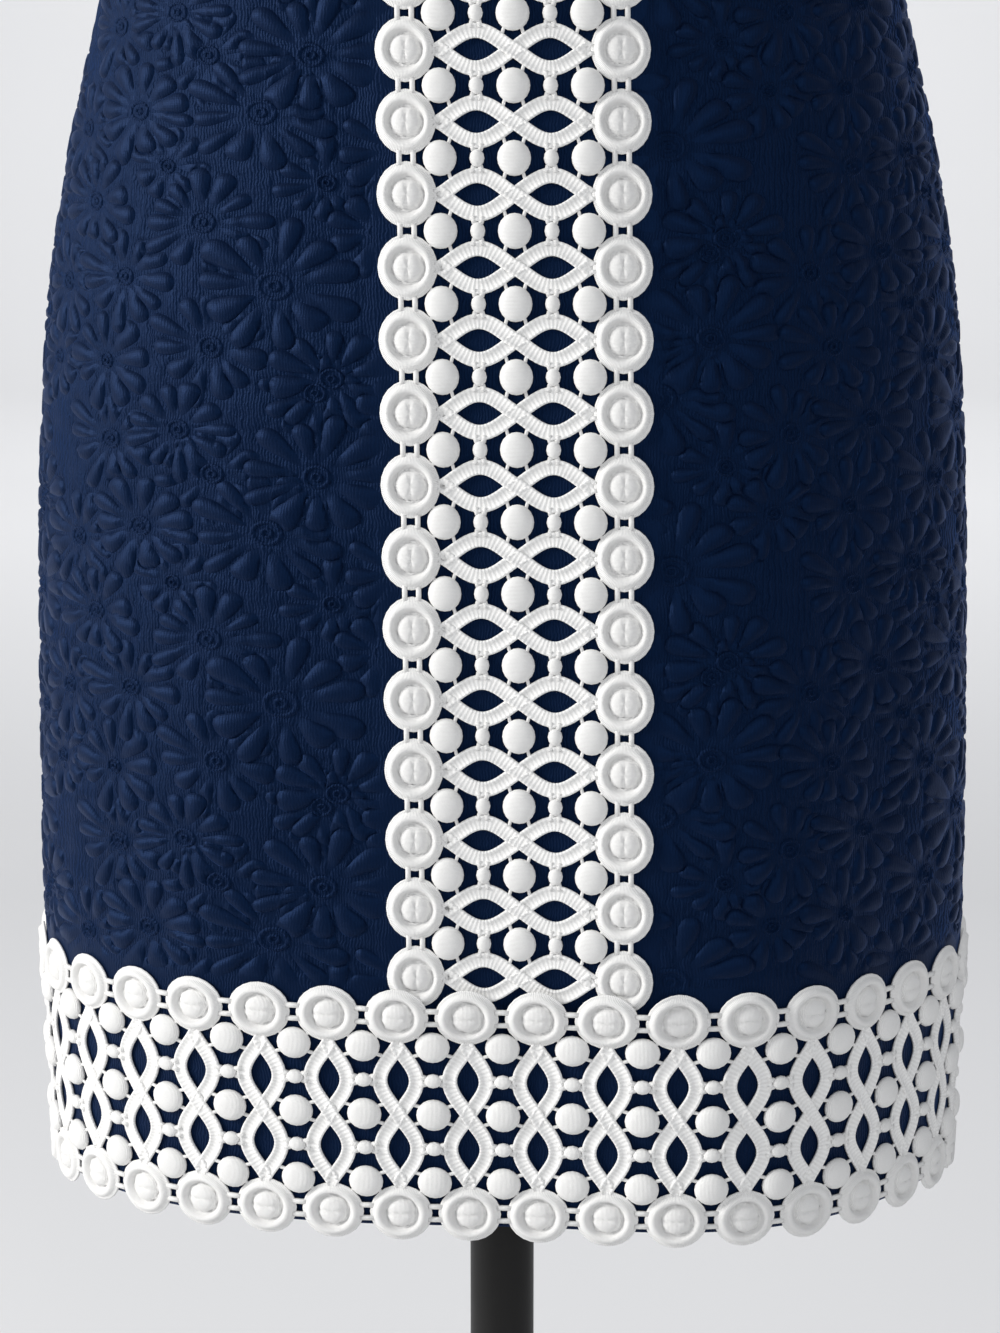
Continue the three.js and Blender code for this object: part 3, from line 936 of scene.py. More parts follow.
@dataclass(frozen=True)
class Woven(Finish):
    """A plain woven cover or tape."""

    threads: float = 1400.0

    def paint(self, draw: ShaderSketch) -> dict:
        """Paints it with a weave that runs round and up it.

        Args:
            draw: the material's sketch.

        Returns:
            A value or socket for each of the shader's inputs.
        """
        here = draw.here()
        parts = draw.split(here)
        round_it = draw.math("ADD", parts["X"], parts["Y"])
        flat = draw.add("ShaderNodeCombineXYZ", {"X": round_it, "Y": parts["Z"]}).outputs[0]
        weave = draw.group(weave_group(), {"Where": flat, "Threads": self.threads})
        return {"Base Color": self.tint(draw, here, 9.0, 800.0),
                "Normal": draw.bump(weave, 0.0003, 0.6), "Sheen Weight": 0.12}


@dataclass(frozen=True)
class TurnedWood(Finish):
    """Waxed beech with rings round the turning axis."""

    dark: tuple[float, float, float] = (0.30, 0.17, 0.08)

    def paint(self, draw: ShaderSketch) -> dict:
        """Paints it with its grain, pores and wax.

        Args:
            draw: the material's sketch.

        Returns:
            A value or socket for each of the shader's inputs.
        """
        here = draw.here()
        links = {"Vector": here, "Scale": (1.0, 0.22, 1.0), "Rotation": (0.0, 0.0, 0.5)}
        place = draw.add("ShaderNodeMapping", links).outputs[0]
        grain = draw.add(
            "ShaderNodeTexWave",
            {"Vector": place, "Scale": 60.0, "Distortion": 6.0, "Detail": 3.0},
            wave_type="BANDS", bands_direction="X",
        ).outputs["Fac"]
        base = self.tint(draw, here, 30.0, 600.0)
        return {
            "Base Color": draw.mix(draw.math("MULTIPLY", grain, 0.55), base, (*self.dark, 1.0)),
            "Normal": draw.bump(draw.noise(place, 900.0, 4.0), 0.0002, 1.0),
            "Coat Weight": 0.25, "Coat Roughness": 0.3,
        }


@dataclass(frozen=True)
class SatinPaint(Finish):
    """Satin black powder coat with a faint orange peel."""

    def paint(self, draw: ShaderSketch) -> dict:
        """Paints it with its peel and smudges.

        Args:
            draw: the material's sketch.

        Returns:
            A value or socket for each of the shader's inputs.
        """
        here = draw.here()
        smudge = draw.ramp(draw.noise(here, 25.0, 4.0), 0.3, 0.7)
        return {
            "Base Color": self.tint(draw, here, 12.0, 500.0),
            "Normal": draw.bump(draw.noise(here, 1300.0, 2.0), 0.00015, 0.5),
            "Roughness": draw.math("ADD", draw.math("MULTIPLY", smudge, 0.12), self.roughness),
            "Specular IOR Level": 0.3,
        }


@dataclass(frozen=True)
class BrightMetal(Finish):
    """Plated metal with fine handling scratches."""

    def paint(self, draw: ShaderSketch) -> dict:
        """Paints it with scratches that run up it.

        Args:
            draw: the material's sketch.

        Returns:
            A value or socket for each of the shader's inputs.
        """
        here = draw.here()
        along = draw.add("ShaderNodeMapping", {"Vector": here, "Scale": (1, 1, 12)}).outputs[0]
        scratches = draw.math("MULTIPLY", draw.noise(along, 1500.0, 2.0), 0.2)
        return {"Base Color": self.tint(draw, here, 90.0, 2000.0), "Metallic": 1.0,
                "Roughness": draw.math("ADD", scratches, self.roughness)}


@dataclass(frozen=True)
class PalePaper(Finish):
    """The sweep's pale paper."""

    def paint(self, draw: ShaderSketch) -> dict:
        """Paints it a little uneven.

        Args:
            draw: the material's sketch.

        Returns:
            A value or socket for each of the shader's inputs.
        """
        tone = draw.noise(draw.here(), 0.8)
        return {"Base Color": draw.mix(tone, (0.70, 0.70, 0.705, 1), (0.73, 0.73, 0.735, 1))}


# ---- The cloth's pattern ----


class Kind(Enum):
    """What an outline of the jacquard is, with its height and how soon it reaches it."""

    PETAL = (1.6, 2.7)
    CORD = (1.05, 0.9)
    HOLLOW = (0.0, 1.0)
    GROUND = (0.55, 1.6)


@dataclass(frozen=True)
class Daisy:
    """One puffed daisy of the jacquard, wider than it is tall."""

    s: float
    v: float
    wide: float = 27.0
    tall: float = 20.0
    eye: float = 0.22
    petals: int = 11
    lean: float = 0.1


@dataclass
class Motif:
    """One closed outline of the pattern in flat coordinates, with the points inside it."""

    outline: Array
    inside: Array
    kind: Kind


# The chart of one repeat, the daisies that lie on top first.
REPEAT_WIDTH, REPEAT_HEIGHT, REPEAT_RISE = 165.0, 175.0, 58.0
CHART = (
    Daisy(-146, 173, 25, 19, 0.2, 11, 0.1),
    Daisy(-193, 267, 23, 18, 0.2, 10, 0.3),
    Daisy(-101, 234, 32, 24, 0.23, 11, 0.25),
    Daisy(-133, 260, 27, 20.5, 0.21, 12, 0.05),
    Daisy(-173, 236, 26, 20, 0.18, 11, 0.5),
    Daisy(-184, 200, 21, 19, 0.17, 9, 0.2),
    Daisy(-130, 208, 26, 22, 0.2, 11, 0.35),
    Daisy(-214, 232, 22, 20, 0.2, 10, 0.0),
    Daisy(-84, 330, 28, 23, 0.2, 11, 0.1),
    Daisy(-166, 306, 27, 20, 0.19, 11, 0.3),
    Daisy(-106, 306, 30, 22, 0.22, 12, 0.15),
    Daisy(-204, 298, 24, 20, 0.19, 10, 0.45),
    Daisy(-130, 330, 25, 19, 0.2, 11, 0.0),
    Daisy(-77, 371, 24, 20, 0.2, 10, 0.3),
    Daisy(-222, 199, 20, 17, 0.18, 9, 0.1),
    Daisy(-182, 342, 26, 20, 0.2, 11, 0.2),
    Daisy(-84, 190, 22, 18, 0.2, 10, 0.4),
    Daisy(-150, 283, 18, 15, 0.2, 9, 0.0),
    Daisy(-78, 277, 20, 17, 0.2, 10, 0.2),
)


def petal_motif(daisy: Daisy, angle: float, reach: float, fat: float) -> Motif:
    """A teardrop petal, narrow at the daisy's eye.

    Args:
        daisy: the daisy it belongs to.
        angle: its direction, before the daisy is stretched.
        reach: its outer end, as a share of the daisy's size.
        fat: its half width, as a share of the daisy's size.

    Returns:
        The petal.
    """
    stretch = np.array([daisy.wide, daisy.tall])
    base = daisy.eye + 0.04
    share = np.array([0.0, 0.16, 0.36, 0.56, 0.74, 0.88, 0.965, 1.0])
    half = fat * 1.25 * (0.05 + 0.95 * share**0.95) * np.sqrt(1 - share**4)
    upper = np.stack([base + (reach - base) * share, half], 1)
    drop = np.concatenate([upper, (upper[1:-1] * (1, -1))[::-1]])
    middle = [[base + (reach - base) * t, 0.0] for t in (0.42, 0.62, 0.8)]
    cos, sin = math.cos(angle), math.sin(angle)
    turn = np.array([[cos, sin], [-sin, cos]])
    centre = np.array([daisy.s, daisy.v])
    outline = (drop @ turn * stretch + centre)[::-1]
    broad = (np.concatenate([half, half[1:-1][::-1]]) * daisy.tall > 1.8)[::-1]
    inset = (outline + inward_at(outline) * 1.15)[broad]
    return Motif(outline, np.concatenate([inset, middle @ turn * stretch + centre]), Kind.PETAL)


def eye_motifs(daisy: Daisy) -> list[Motif]:
    """The two raised rings of a daisy's eye, as discs that lie on each other.

    Args:
        daisy: the daisy.

    Returns:
        The discs, the uppermost first.
    """
    stretch = np.array([daisy.wide, daisy.tall]) * daisy.eye
    discs = ((0.16, 0.0, 10, Kind.HOLLOW), (0.44, 0.3, 10, Kind.CORD),
             (0.68, 0.0, 16, Kind.HOLLOW), (1.0, 0.84, 16, Kind.CORD))
    made = []
    for size, crest, sides, kind in discs:
        turn = np.arange(sides) * 2 * math.pi / sides
        circle = np.stack([np.cos(turn), np.sin(turn)], 1) * stretch
        centre = np.array([daisy.s, daisy.v])
        inside = circle * crest + centre if crest else np.zeros((0, 2))
        made.append(Motif(circle * size + centre, inside, kind))
    return made


def inside_polygon(points: Array, polygon: Array) -> Array:
    """Which points lie in a polygon.

    Args:
        points: flat points.
        polygon: its corners.

    Returns:
        One flag for each point.
    """
    x0, y0 = polygon.T
    x1, y1 = np.roll(polygon, -1, 0).T
    rise = np.where(np.abs(y1 - y0) < 1e-12, 1e-12, y1 - y0)
    inside = np.zeros(len(points), bool)
    for low in range(0, len(points), BATCH):
        x, y = points[low : low + BATCH, :1], points[low : low + BATCH, 1:]
        crosses = ((y0 > y) != (y1 > y)) & (x < (x1 - x0) * (y - y0) / rise + x0)
        inside[low : low + BATCH] = crosses.sum(1) % 2 == 1
    return inside


def distance_to(points: Array, starts: Array, ends: Array) -> Array:
    """The distance from each point to the nearest of some segments.

    Args:
        points: flat points.
        starts: the segments' first ends.
        ends: the segments' last ends.

    Returns:
        One distance for each point.
    """
    run = ends - starts
    square = np.maximum((run**2).sum(1), 1e-12)
    result = np.zeros(len(points))
    for low in range(0, len(points), BATCH):
        gap = points[low : low + BATCH, None] - starts
        t = np.clip((gap * run).sum(2) / square, 0, 1)
        away = gap - t[..., None] * run
        result[low : low + BATCH] = np.sqrt((away**2).sum(2).min(1))
    return result


class Jacquard:
    """The woven pattern: daisies that lie over each other on a crinkled ground."""

    seed = 11
    scale = 1.14
    fat = 0.80 * math.pi

    def __init__(self, low: Array, high: Array, hidden: object) -> None:
        """Lays out the repeats that fall in a box.

        Args:
            low: the box's lowest s and v.
            high: its highest.
            hidden: tells which points the lace hides.
        """
        daisies = self.repeats(low, high)
        eyes = [motif for daisy in daisies for motif in eye_motifs(daisy)]
        petals = [petal for daisy in daisies for petal in self.petals(daisy)]
        self.motifs = [m for m in eyes + petals if not hidden(m.outline).all()]

    def repeats(self, low: Array, high: Array) -> list[Daisy]:
        """Every daisy that reaches into a box, the uppermost first.

        Args:
            low: the box's lowest s and v.
            high: its highest.

        Returns:
            The daisies.
        """
        placed = []
        for mark in CHART:
            for column in range(-3, 4):
                for row in range(-3, 7):
                    s = mark.s + column * REPEAT_WIDTH
                    v = mark.v + row * REPEAT_HEIGHT + (column % 3) * REPEAT_RISE
                    if low[0] - 30 < s < high[0] + 30 and low[1] - 25 < v < high[1] + 25:
                        wide, tall = mark.wide * self.scale, mark.tall * self.scale
                        placed.append(replace(mark, s=s, v=v, wide=wide, tall=tall))
        return placed

    def petals(self, daisy: Daisy) -> list[Motif]:
        """The fan of petals round a daisy's eye, alike in every repeat.

        Args:
            daisy: the daisy.

        Returns:
            Its petals.
        """
        rng = np.random.default_rng([self.seed, round(daisy.wide * 10), daisy.petals])
        fan = []
        for i in range(daisy.petals):
            angle = daisy.lean + 2 * math.pi * (i + rng.uniform(-0.16, 0.16)) / daisy.petals
            reach = 1.0 + rng.uniform(-0.2, 0.1)
            fat = self.fat / daisy.petals * (1 + rng.uniform(-0.3, 0.1))
            fan.append(petal_motif(daisy, angle, reach, fat))
        return fan

    def top(self, points: Array) -> Array:
        """The uppermost motif over each point.

        Args:
            points: flat points.

        Returns:
            Motif numbers, or -1 on the ground.
        """
        order = np.argsort(points[:, 1], kind="stable")
        ranked = points[order]
        found = np.full(len(points), -1)
        for number in range(len(self.motifs) - 1, -1, -1):
            outline = self.motifs[number].outline
            (left, low), (right, high) = outline.min(0), outline.max(0)
            first, last = np.searchsorted(ranked[:, 1], [low, high])
            near = first + np.flatnonzero(
                (ranked[first:last, 0] > left) & (ranked[first:last, 0] < right)
            )
            if len(near):
                found[near[inside_polygon(ranked[near], outline)]] = number
        result = np.empty_like(found)
        result[order] = found
        return result


def neck_edge(t: Array, back: bool) -> tuple[Array, Array]:
    """The neck edge from the centre (t = 0) to the shoulder seam (t = 1).

    Args:
        t: places along it.
        back: whether it is the back's.

    Returns:
        Heights, and angles from that side's centre.
    """
    drop = NECK_DROP_BACK if back else NECK_DROP_FRONT
    h = NECK_POINT - drop * np.cos(t * math.pi / 2)
    x = NECK_HALF_WIDTH * np.sin(t * math.pi / 2)
    depth = DRESS_SHAPE.back(h) if back else DRESS_SHAPE.front(h)
    n = DRESS_SHAPE.squareness(h)
    share = np.minimum(x / DRESS_SHAPE.side(h), 1) ** n
    return h, np.arctan2(x, depth * (1 - share) ** (1 / n))


def half_outline(pattern: FlatPattern) -> Array:
    """Half a panel's edge past its centre: side seam, armhole, shoulder and neck.

    Args:
        pattern: the panel's flat pattern.

    Returns:
        Its flat corners, anticlockwise from the side seam's foot.
    """
    back = pattern.centre == Centre.BACK.value
    trim = SEAM_GAP / 2 / float(DRESS_SHAPE.side(UNDERARM))
    seam = math.pi / 2 - trim
    side = np.linspace(CLOTH_HEM, UNDERARM, 128, endpoint=False)
    t = np.linspace(0, 1, 32, endpoint=False)
    inset = ARMHOLE_INSET * np.sin(math.pi * t**0.8) ** 0.8
    shoulder = np.linspace(SHOULDER_TIP, NECK_POINT, 20, endpoint=False)
    neck_h, neck_angle = neck_edge(np.linspace(1, 0, 34), back)
    armhole = UNDERARM + (SHOULDER_TIP - UNDERARM) * t
    h = np.concatenate([side, armhole, shoulder, neck_h])
    angle = np.concatenate([np.full_like(side, seam), np.minimum(math.pi / 2 - inset, seam),
                            np.full_like(shoulder, seam), np.minimum(neck_angle, seam)])
    return np.stack([pattern.arc(h, pattern.centre + angle), pattern.length(h)], 1)


def front_outline(pattern: FlatPattern) -> Array:
    """The front's outline, anticlockwise.

    Args:
        pattern: the front's flat pattern.

    Returns:
        Its flat corners.
    """
    right = half_outline(pattern)
    left = (right[:-1] * (-1, 1))[::-1]
    hem = np.linspace(left[-1], right[0], 96, endpoint=False)[1:]
    return np.concatenate([right, left, hem])


def back_outline(pattern: FlatPattern, right_side: bool) -> Array:
    """A back's outline, anticlockwise, with the slot for the zip along its centre edge.

    Args:
        pattern: the back's flat pattern.
        right_side: whether it lies at +X.

    Returns:
        Its flat corners.
    """
    slot = CHAIN_HALF_WIDTH + SEAM_GAP
    outer = half_outline(pattern)
    outer = outer[outer[:, 0] > slot + 0.5]
    top = pattern.length(NECK_POINT - NECK_DROP_BACK)
    foot = pattern.length(ZIP_FOOT)
    edge = np.array([[slot, v] for v in np.linspace(top, foot, 96)])
    seam = np.array([[SEAM_GAP / 2, v] for v in np.linspace(foot - 35, CLOTH_HEM, 54)])
    hem = np.linspace(seam[-1], outer[0], 48, endpoint=False)[1:]
    left = np.concatenate([outer, edge, seam, hem])
    return (left * (-1, 1))[::-1] if right_side else left


@dataclass(frozen=True)
class Dart:
    """A sewn dart: a sharp line that the cloth dips into."""

    start: tuple[float, float]
    end: tuple[float, float]
    depth: float = 0.9
    reach: float = 1.3

    def dip(self, points: Array) -> Array:
        """How far the dart draws each flat point in."""
        away = distance_to(points, np.array([self.start]), np.array([self.end]))
        return self.depth * np.exp(-((away / self.reach) ** 2))

    def lines(self) -> list[Array]:
        """The dart's line and one on either side, as rows of flat points."""
        a, b = np.array(self.start), np.array(self.end)
        run = (b - a) / np.linalg.norm(b - a)
        aside = np.array([-run[1], run[0]]) * self.reach * 1.3
        count = max(2, round(np.linalg.norm(b - a) / 5))
        return [np.linspace(a + aside * k, b + aside * k, count) for k in (-1, 0, 1)]


@dataclass
class PuffedPanel:
    """A panel of the puffed jacquard: a thin closed shell on the dress surface."""

    name: str
    node: str
    pattern: FlatPattern
    outline: Array
    darts: tuple[Dart, ...] = ()
    lace_half_width: float = 0.0
    ground_spacing: float = 9.0
    rib_pitch: float = 2.7
    rib_row: float = 4.6
    rib_height: float = 0.5
    lining_spacing: float = 15.0
    rolled: float = 1.3
    sunk: float = 0.35
    settled: float = 0.9

    def shown(self, points: Array) -> Array:
        """How much of the relief stands at each point: none under lace and little at seams.

        Args:
            points: flat points.

        Returns:
            A share for each point.
        """
        over_hem = smooth_step(points[:, 1], LACE_WIDTH + 1, LACE_WIDTH + 7)
        beside = smooth_step(np.abs(points[:, 0]), self.lace_half_width, self.lace_half_width + 6)
        return over_hem * (beside if self.lace_half_width else 1.0)

    def hidden(self, points: Array) -> Array:
        """Which points lie well under the lace or off the panel."""
        under = (points[:, 1] < LACE_WIDTH - 4) | (np.abs(points[:, 0]) < self.lace_half_width - 4)
        return under | ~inside_polygon(points, self.outline)

    def spread(self, spacing: float, margin: float) -> Array:
        """Points in a jittered lattice over the panel.

        Args:
            spacing: between them.
            margin: how far they keep from the outline.

        Returns:
            Flat points.
        """
        low, high = self.outline.min(0), self.outline.max(0)
        rows = np.arange(low[1], high[1], spacing * 0.87)
        columns = np.arange(low[0], high[0], spacing)
        grid = np.array([
            (s + (i % 2) * spacing / 2, v) for i, v in enumerate(rows) for s in columns
        ])
        grid += np.random.default_rng(5).uniform(-0.18, 0.18, grid.shape) * spacing
        grid = grid[inside_polygon(grid, self.outline)]
        ends = np.roll(self.outline, -1, 0)
        return grid[distance_to(grid, self.outline, ends) > margin]

    def warp(self, s: Array, v: Array) -> Array:
        """How far the ground's ribs wander sideways."""
        slow = 0.9 * np.sin(v / 7.3 + s / 31)
        return slow + 0.5 * np.sin(v / 3.9 + s / 13 + 1.7)

    def ribs(self, points: Array) -> Array:
        """The height of the crinkled ribs, which break off and start again."""
        s, v = points.T
        tall = 0.62 + 0.38 * np.sin(s / 5.1 + v / 6.3) * np.sin(v / 4.7 - s / 7.9)
        return self.rib_height * tall * np.sin(2 * math.pi * (s + self.warp(s, v)) / self.rib_pitch)

    def rib_points(self) -> Array:
        """Points along the crests and hollows of the ground's ribs.

        Returns:
            Flat points.
        """
        low, high = self.outline.min(0), self.outline.max(0)
        rows = np.arange(low[1], high[1], self.rib_row)
        columns = (np.arange(low[0], high[0], self.rib_pitch / 2) // (self.rib_pitch / 2) + 0.5)
        s, v = np.meshgrid(columns * self.rib_pitch / 2, rows)
        s = s - self.warp(s, v)
        grid = np.stack([s.ravel(), v.ravel()], 1)
        grid = grid[inside_polygon(grid, self.outline)]
        grid = grid[self.shown(grid) > 0]
        ends = np.roll(self.outline, -1, 0)
        return grid[nearest(between(self.outline, ends), grid)[0] > self.rolled + 0.9]

    def triangulate(self, rim: Array, lines: list[Array], loose: Array) -> tuple:
        """A constrained triangulation inside the outline.

        Args:
            rim: the closed outline.
            lines: open lines to follow.
            loose: further points.

        Returns:
            The points and the triangles, anticlockwise.
        """
        edges, count = [], 0
        for chain in (rim, *lines):
            ring = np.arange(len(chain)) + count
            pairs = np.stack([ring, np.roll(ring, -1)], 1)
            edges.append(pairs if chain is rim else pairs[:-1])
            count += len(chain)
        flat = np.concatenate([rim, *lines, loose])
        made = delaunay_2d_cdt(
            [Vector(p) for p in flat.tolist()], np.concatenate(edges).tolist(), [], 0, 1e-3, False
        )
        corners, faces = np.array(made[0]), np.array(made[2])
        middles = corners[faces].mean(1)
        return corners, faces[inside_polygon(middles, self.outline)]

    def relief(self, points: Array, faces: Array, cloth: Jacquard) -> tuple[Array, Array, Array]:
        """The height of the puffed pattern.

        Args:
            points: flat points.
            faces: the triangles.
            cloth: the pattern.

        Returns:
            Heights, the pairs of points on region edges, and which triangles are petals.
        """
        region = cloth.top(points[faces].mean(1))
        directed = directed_edges(faces)
        owner = np.tile(region, 3)
        key = np.minimum(*directed.T) * len(points) + np.maximum(*directed.T)
        order = np.argsort(key, kind="stable")
        key, owner, directed = key[order], owner[order], directed[order]
        same = np.flatnonzero(key[1:] == key[:-1])
        border = same[owner[same] != owner[same + 1]]
        pairs = directed[border]
        on_edge = np.zeros(len(points), bool)
        on_edge[pairs] = True
        where = np.full(len(points), -2)
        where[faces.ravel()] = np.repeat(region, 3)
        heights = np.zeros(len(points))
        sides = np.concatenate([owner[border], owner[border + 1]])
        both = np.concatenate([pairs, pairs])
        rank = np.argsort(sides, kind="stable")
        sides, both = sides[rank], both[rank]
        inner = np.flatnonzero(~on_edge & (where > -2))
        inner = inner[np.argsort(where[inner], kind="stable")]
        numbers, starts = np.unique(where[inner], return_index=True)
        for number, group in zip(numbers, np.split(inner, starts[1:])):
            first, last = np.searchsorted(sides, [number, number + 1])
            if first == last:
                continue
            kind = cloth.motifs[number].kind if number >= 0 else Kind.GROUND
            tall, reach = kind.value
            ends = points[both[first:last]]
            if number >= 0:
                away = distance_to(points[group], ends[:, 0], ends[:, 1])
            else:
                away = nearest(between(ends[:, 0], ends[:, 1]), points[group])[0]
            swell = np.sqrt(1 - (1 - np.minimum(away / reach, 1)) ** 2)
            ribs = self.ribs(points[group]) if number < 0 else 0.0
            heights[group] = (tall + ribs) * swell
        petal = np.array([m.kind is Kind.PETAL for m in cloth.motifs] + [False])
        return heights, pairs, petal[region]

    def build(self, material: bpy.types.Material) -> bpy.types.Object:
        """Makes the panel.

        Args:
            material: its finish.

        Returns:
            The piece.
        """
        low, high = self.outline.min(0), self.outline.max(0)
        cloth = Jacquard(low, high, self.hidden)
        inside = np.concatenate([m.inside for m in cloth.motifs])
        own = np.repeat(np.arange(len(cloth.motifs)), [len(m.inside) for m in cloth.motifs])
        inside = inside[cloth.top(inside) == own]
        lines = self.visible_loops(cloth)
        ground = self.spread(self.ground_spacing, 3.0)
        ground = ground[self.shown(ground) <= 0]
        ground = np.concatenate([ground, self.rib_points()])
        ground = ground[cloth.top(ground) == -1]
        marks = np.array(lines)
        ground = ground[nearest(between(marks[:, 0], marks[:, 1]), ground)[0] > 0.8]
        ends = np.roll(self.outline, -1, 0)
        inset = self.outline + inward_at(self.outline) * self.rolled
        lines += [line for dart in self.darts for line in dart.lines()]
        loose = np.concatenate([inside, ground, inset])
        flat, faces = self.triangulate(self.outline, lines, loose)
        heights, pairs, petal = self.relief(flat, faces, cloth)
        edge = distance_to(flat, self.outline, ends)
        shown = self.shown(flat)
        heights = heights * shown * smooth_step(edge, 0.0, 4.0) - self.settled * shown
        heights -= self.sunk + 0.5 * (1 - smooth_step(edge, 0.0, self.rolled))
        for dart in self.darts:
            heights -= dart.dip(flat)
        outer = self.pattern.lay(flat[:, 0], flat[:, 1], heights)
        return self.close(flat, faces, outer, pairs, petal, material)

    def visible_loops(self, cloth: Jacquard) -> list[Array]:
        """The stretches of the motifs' outlines that no motif above hides.

        Args:
            cloth: the pattern.

        Returns:
            Open lines of flat points.
        """
        corners = np.concatenate([m.outline for m in cloth.motifs])
        sizes = [len(m.outline) for m in cloth.motifs]
        own = np.repeat(np.arange(len(sizes)), sizes)
        ends = np.concatenate([np.roll(m.outline, -1, 0) for m in cloth.motifs])
        covered = np.ones(len(corners), bool)
        for share in (0.0, 0.5, 1.0):
            top = cloth.top(corners + (ends - corners) * share)
            covered &= (top >= 0) & (top < own)
        return list(np.stack([corners, ends], 1)[~covered])

    def close(self, flat: Array, faces: Array, outer: Array, pairs: Array, petal: Array,
              material: bpy.types.Material) -> bpy.types.Object:
        """Adds the reverse of the cloth and its edges, and dresses the piece.

        Args:
            flat: the outer face's flat points.
            faces: its triangles.
            outer: where its points lie.
            pairs: points on the edges between regions, which are sharp.
            petal: which of its triangles are petals.
            material: the finish.

        Returns:
            The piece.
        """
        loop = border_loop(faces)
        rim = flat[loop]
        lining, back = self.triangulate(rim, [], self.spread(self.lining_spacing, 6.0))
        matched = nearest(lining, rim)[1].tolist()
        edge = distance_to(lining, rim, np.roll(rim, -1, 0))
        lift = 0.35 * (1 - smooth_step(edge, 0.0, self.rolled)) - CLOTH
        lift -= (self.settled + 0.2) * self.shown(lining)
        inner = self.pattern.lay(lining[:, 0], lining[:, 1], lift)
        count = len(outer)
        rolled = np.roll(loop, -1).tolist(), np.roll(matched, -1).tolist()
        walls = [[b, a, count + under_a, count + under_b]
                 for a, under_a, b, under_b in zip(loop, matched, *rolled)]
        every = [*faces.tolist(), *(back[:, ::-1] + count).tolist(), *walls]
        mesh = new_mesh(self.name, np.concatenate([outer, inner]), every)
        flat_all = np.concatenate([flat, lining])
        set_corner_uv(mesh, "cut", flat_all[corner_vertices(mesh)] * MM + (0.5, 0.0))
        is_petal = np.zeros(len(mesh.loops), np.float32)
        is_petal[: 3 * len(faces)] = np.repeat(petal, 3)
        layer = mesh.attributes.new("petal", "FLOAT", "CORNER")
        layer.data.foreach_set("value", is_petal)
        ends = np.zeros(2 * len(mesh.edges), np.int32)
        mesh.edges.foreach_get("vertices", ends)
        ends = np.sort(ends.reshape(-1, 2), 1).astype(np.int64)
        sharp = np.sort(pairs, 1).astype(np.int64)
        found = np.isin(ends @ [len(flat_all), 1], sharp @ [len(flat_all), 1])
        mesh.edges.foreach_set("use_edge_sharp", found)
        mesh.materials.append(material)
        piece = add_piece(self.name, mesh)
        declare(piece, self.node)
        return piece


def between(starts: Array, ends: Array) -> Array:
    """Marks spaced along segments."""
    shares = (0.08, 0.25, 0.42, 0.58, 0.75, 0.92)
    return np.concatenate([starts + (ends - starts) * share for share in shares])


def nearest(marks: Array, points: Array) -> tuple[Array, Array]:
    """The mark nearest each point.

    Args:
        marks: flat points to choose from.
        points: flat points.

    Returns:
        Its distance and its number, for each point.
    """
    tree = KDTree(len(marks))
    for i, mark in enumerate(marks.tolist()):
        tree.insert((*mark, 0.0), i)
    tree.balance()
    found = [tree.find((*p, 0.0)) for p in points.tolist()]
    return np.array([f[2] for f in found]), np.array([f[1] for f in found])


def inward_at(polygon: Array) -> Array:
    """Unit vectors that point into an anticlockwise polygon at each of its corners."""
    across = np.roll(polygon, -1, 0) - np.roll(polygon, 1, 0)
    inward = np.stack([-across[:, 1], across[:, 0]], 1)
    return inward / np.linalg.norm(inward, axis=1, keepdims=True)


def directed_edges(faces: Array) -> Array:
    """The three edges of each triangle, all the first ones first."""
    return np.concatenate([faces[:, [0, 1]], faces[:, [1, 2]], faces[:, [2, 0]]])


def border_loop(faces: Array) -> list[int]:
    """The border of a triangulated patch, in order, anticlockwise.

    Args:
        faces: its triangles.

    Returns:
        Vertex numbers.
    """
    directed = directed_edges(faces)
    size = directed.max() + 1
    keys = directed @ np.array([size, 1])
    back = directed[:, ::-1] @ np.array([size, 1])
    border = directed[~np.isin(back, keys)]
    following = {int(a): int(b) for a, b in border}
    loop = [int(border[0][0])]
    while following[loop[-1]] != loop[0]:
        loop.append(following[loop[-1]])
    return loop


# ---- The lace ----


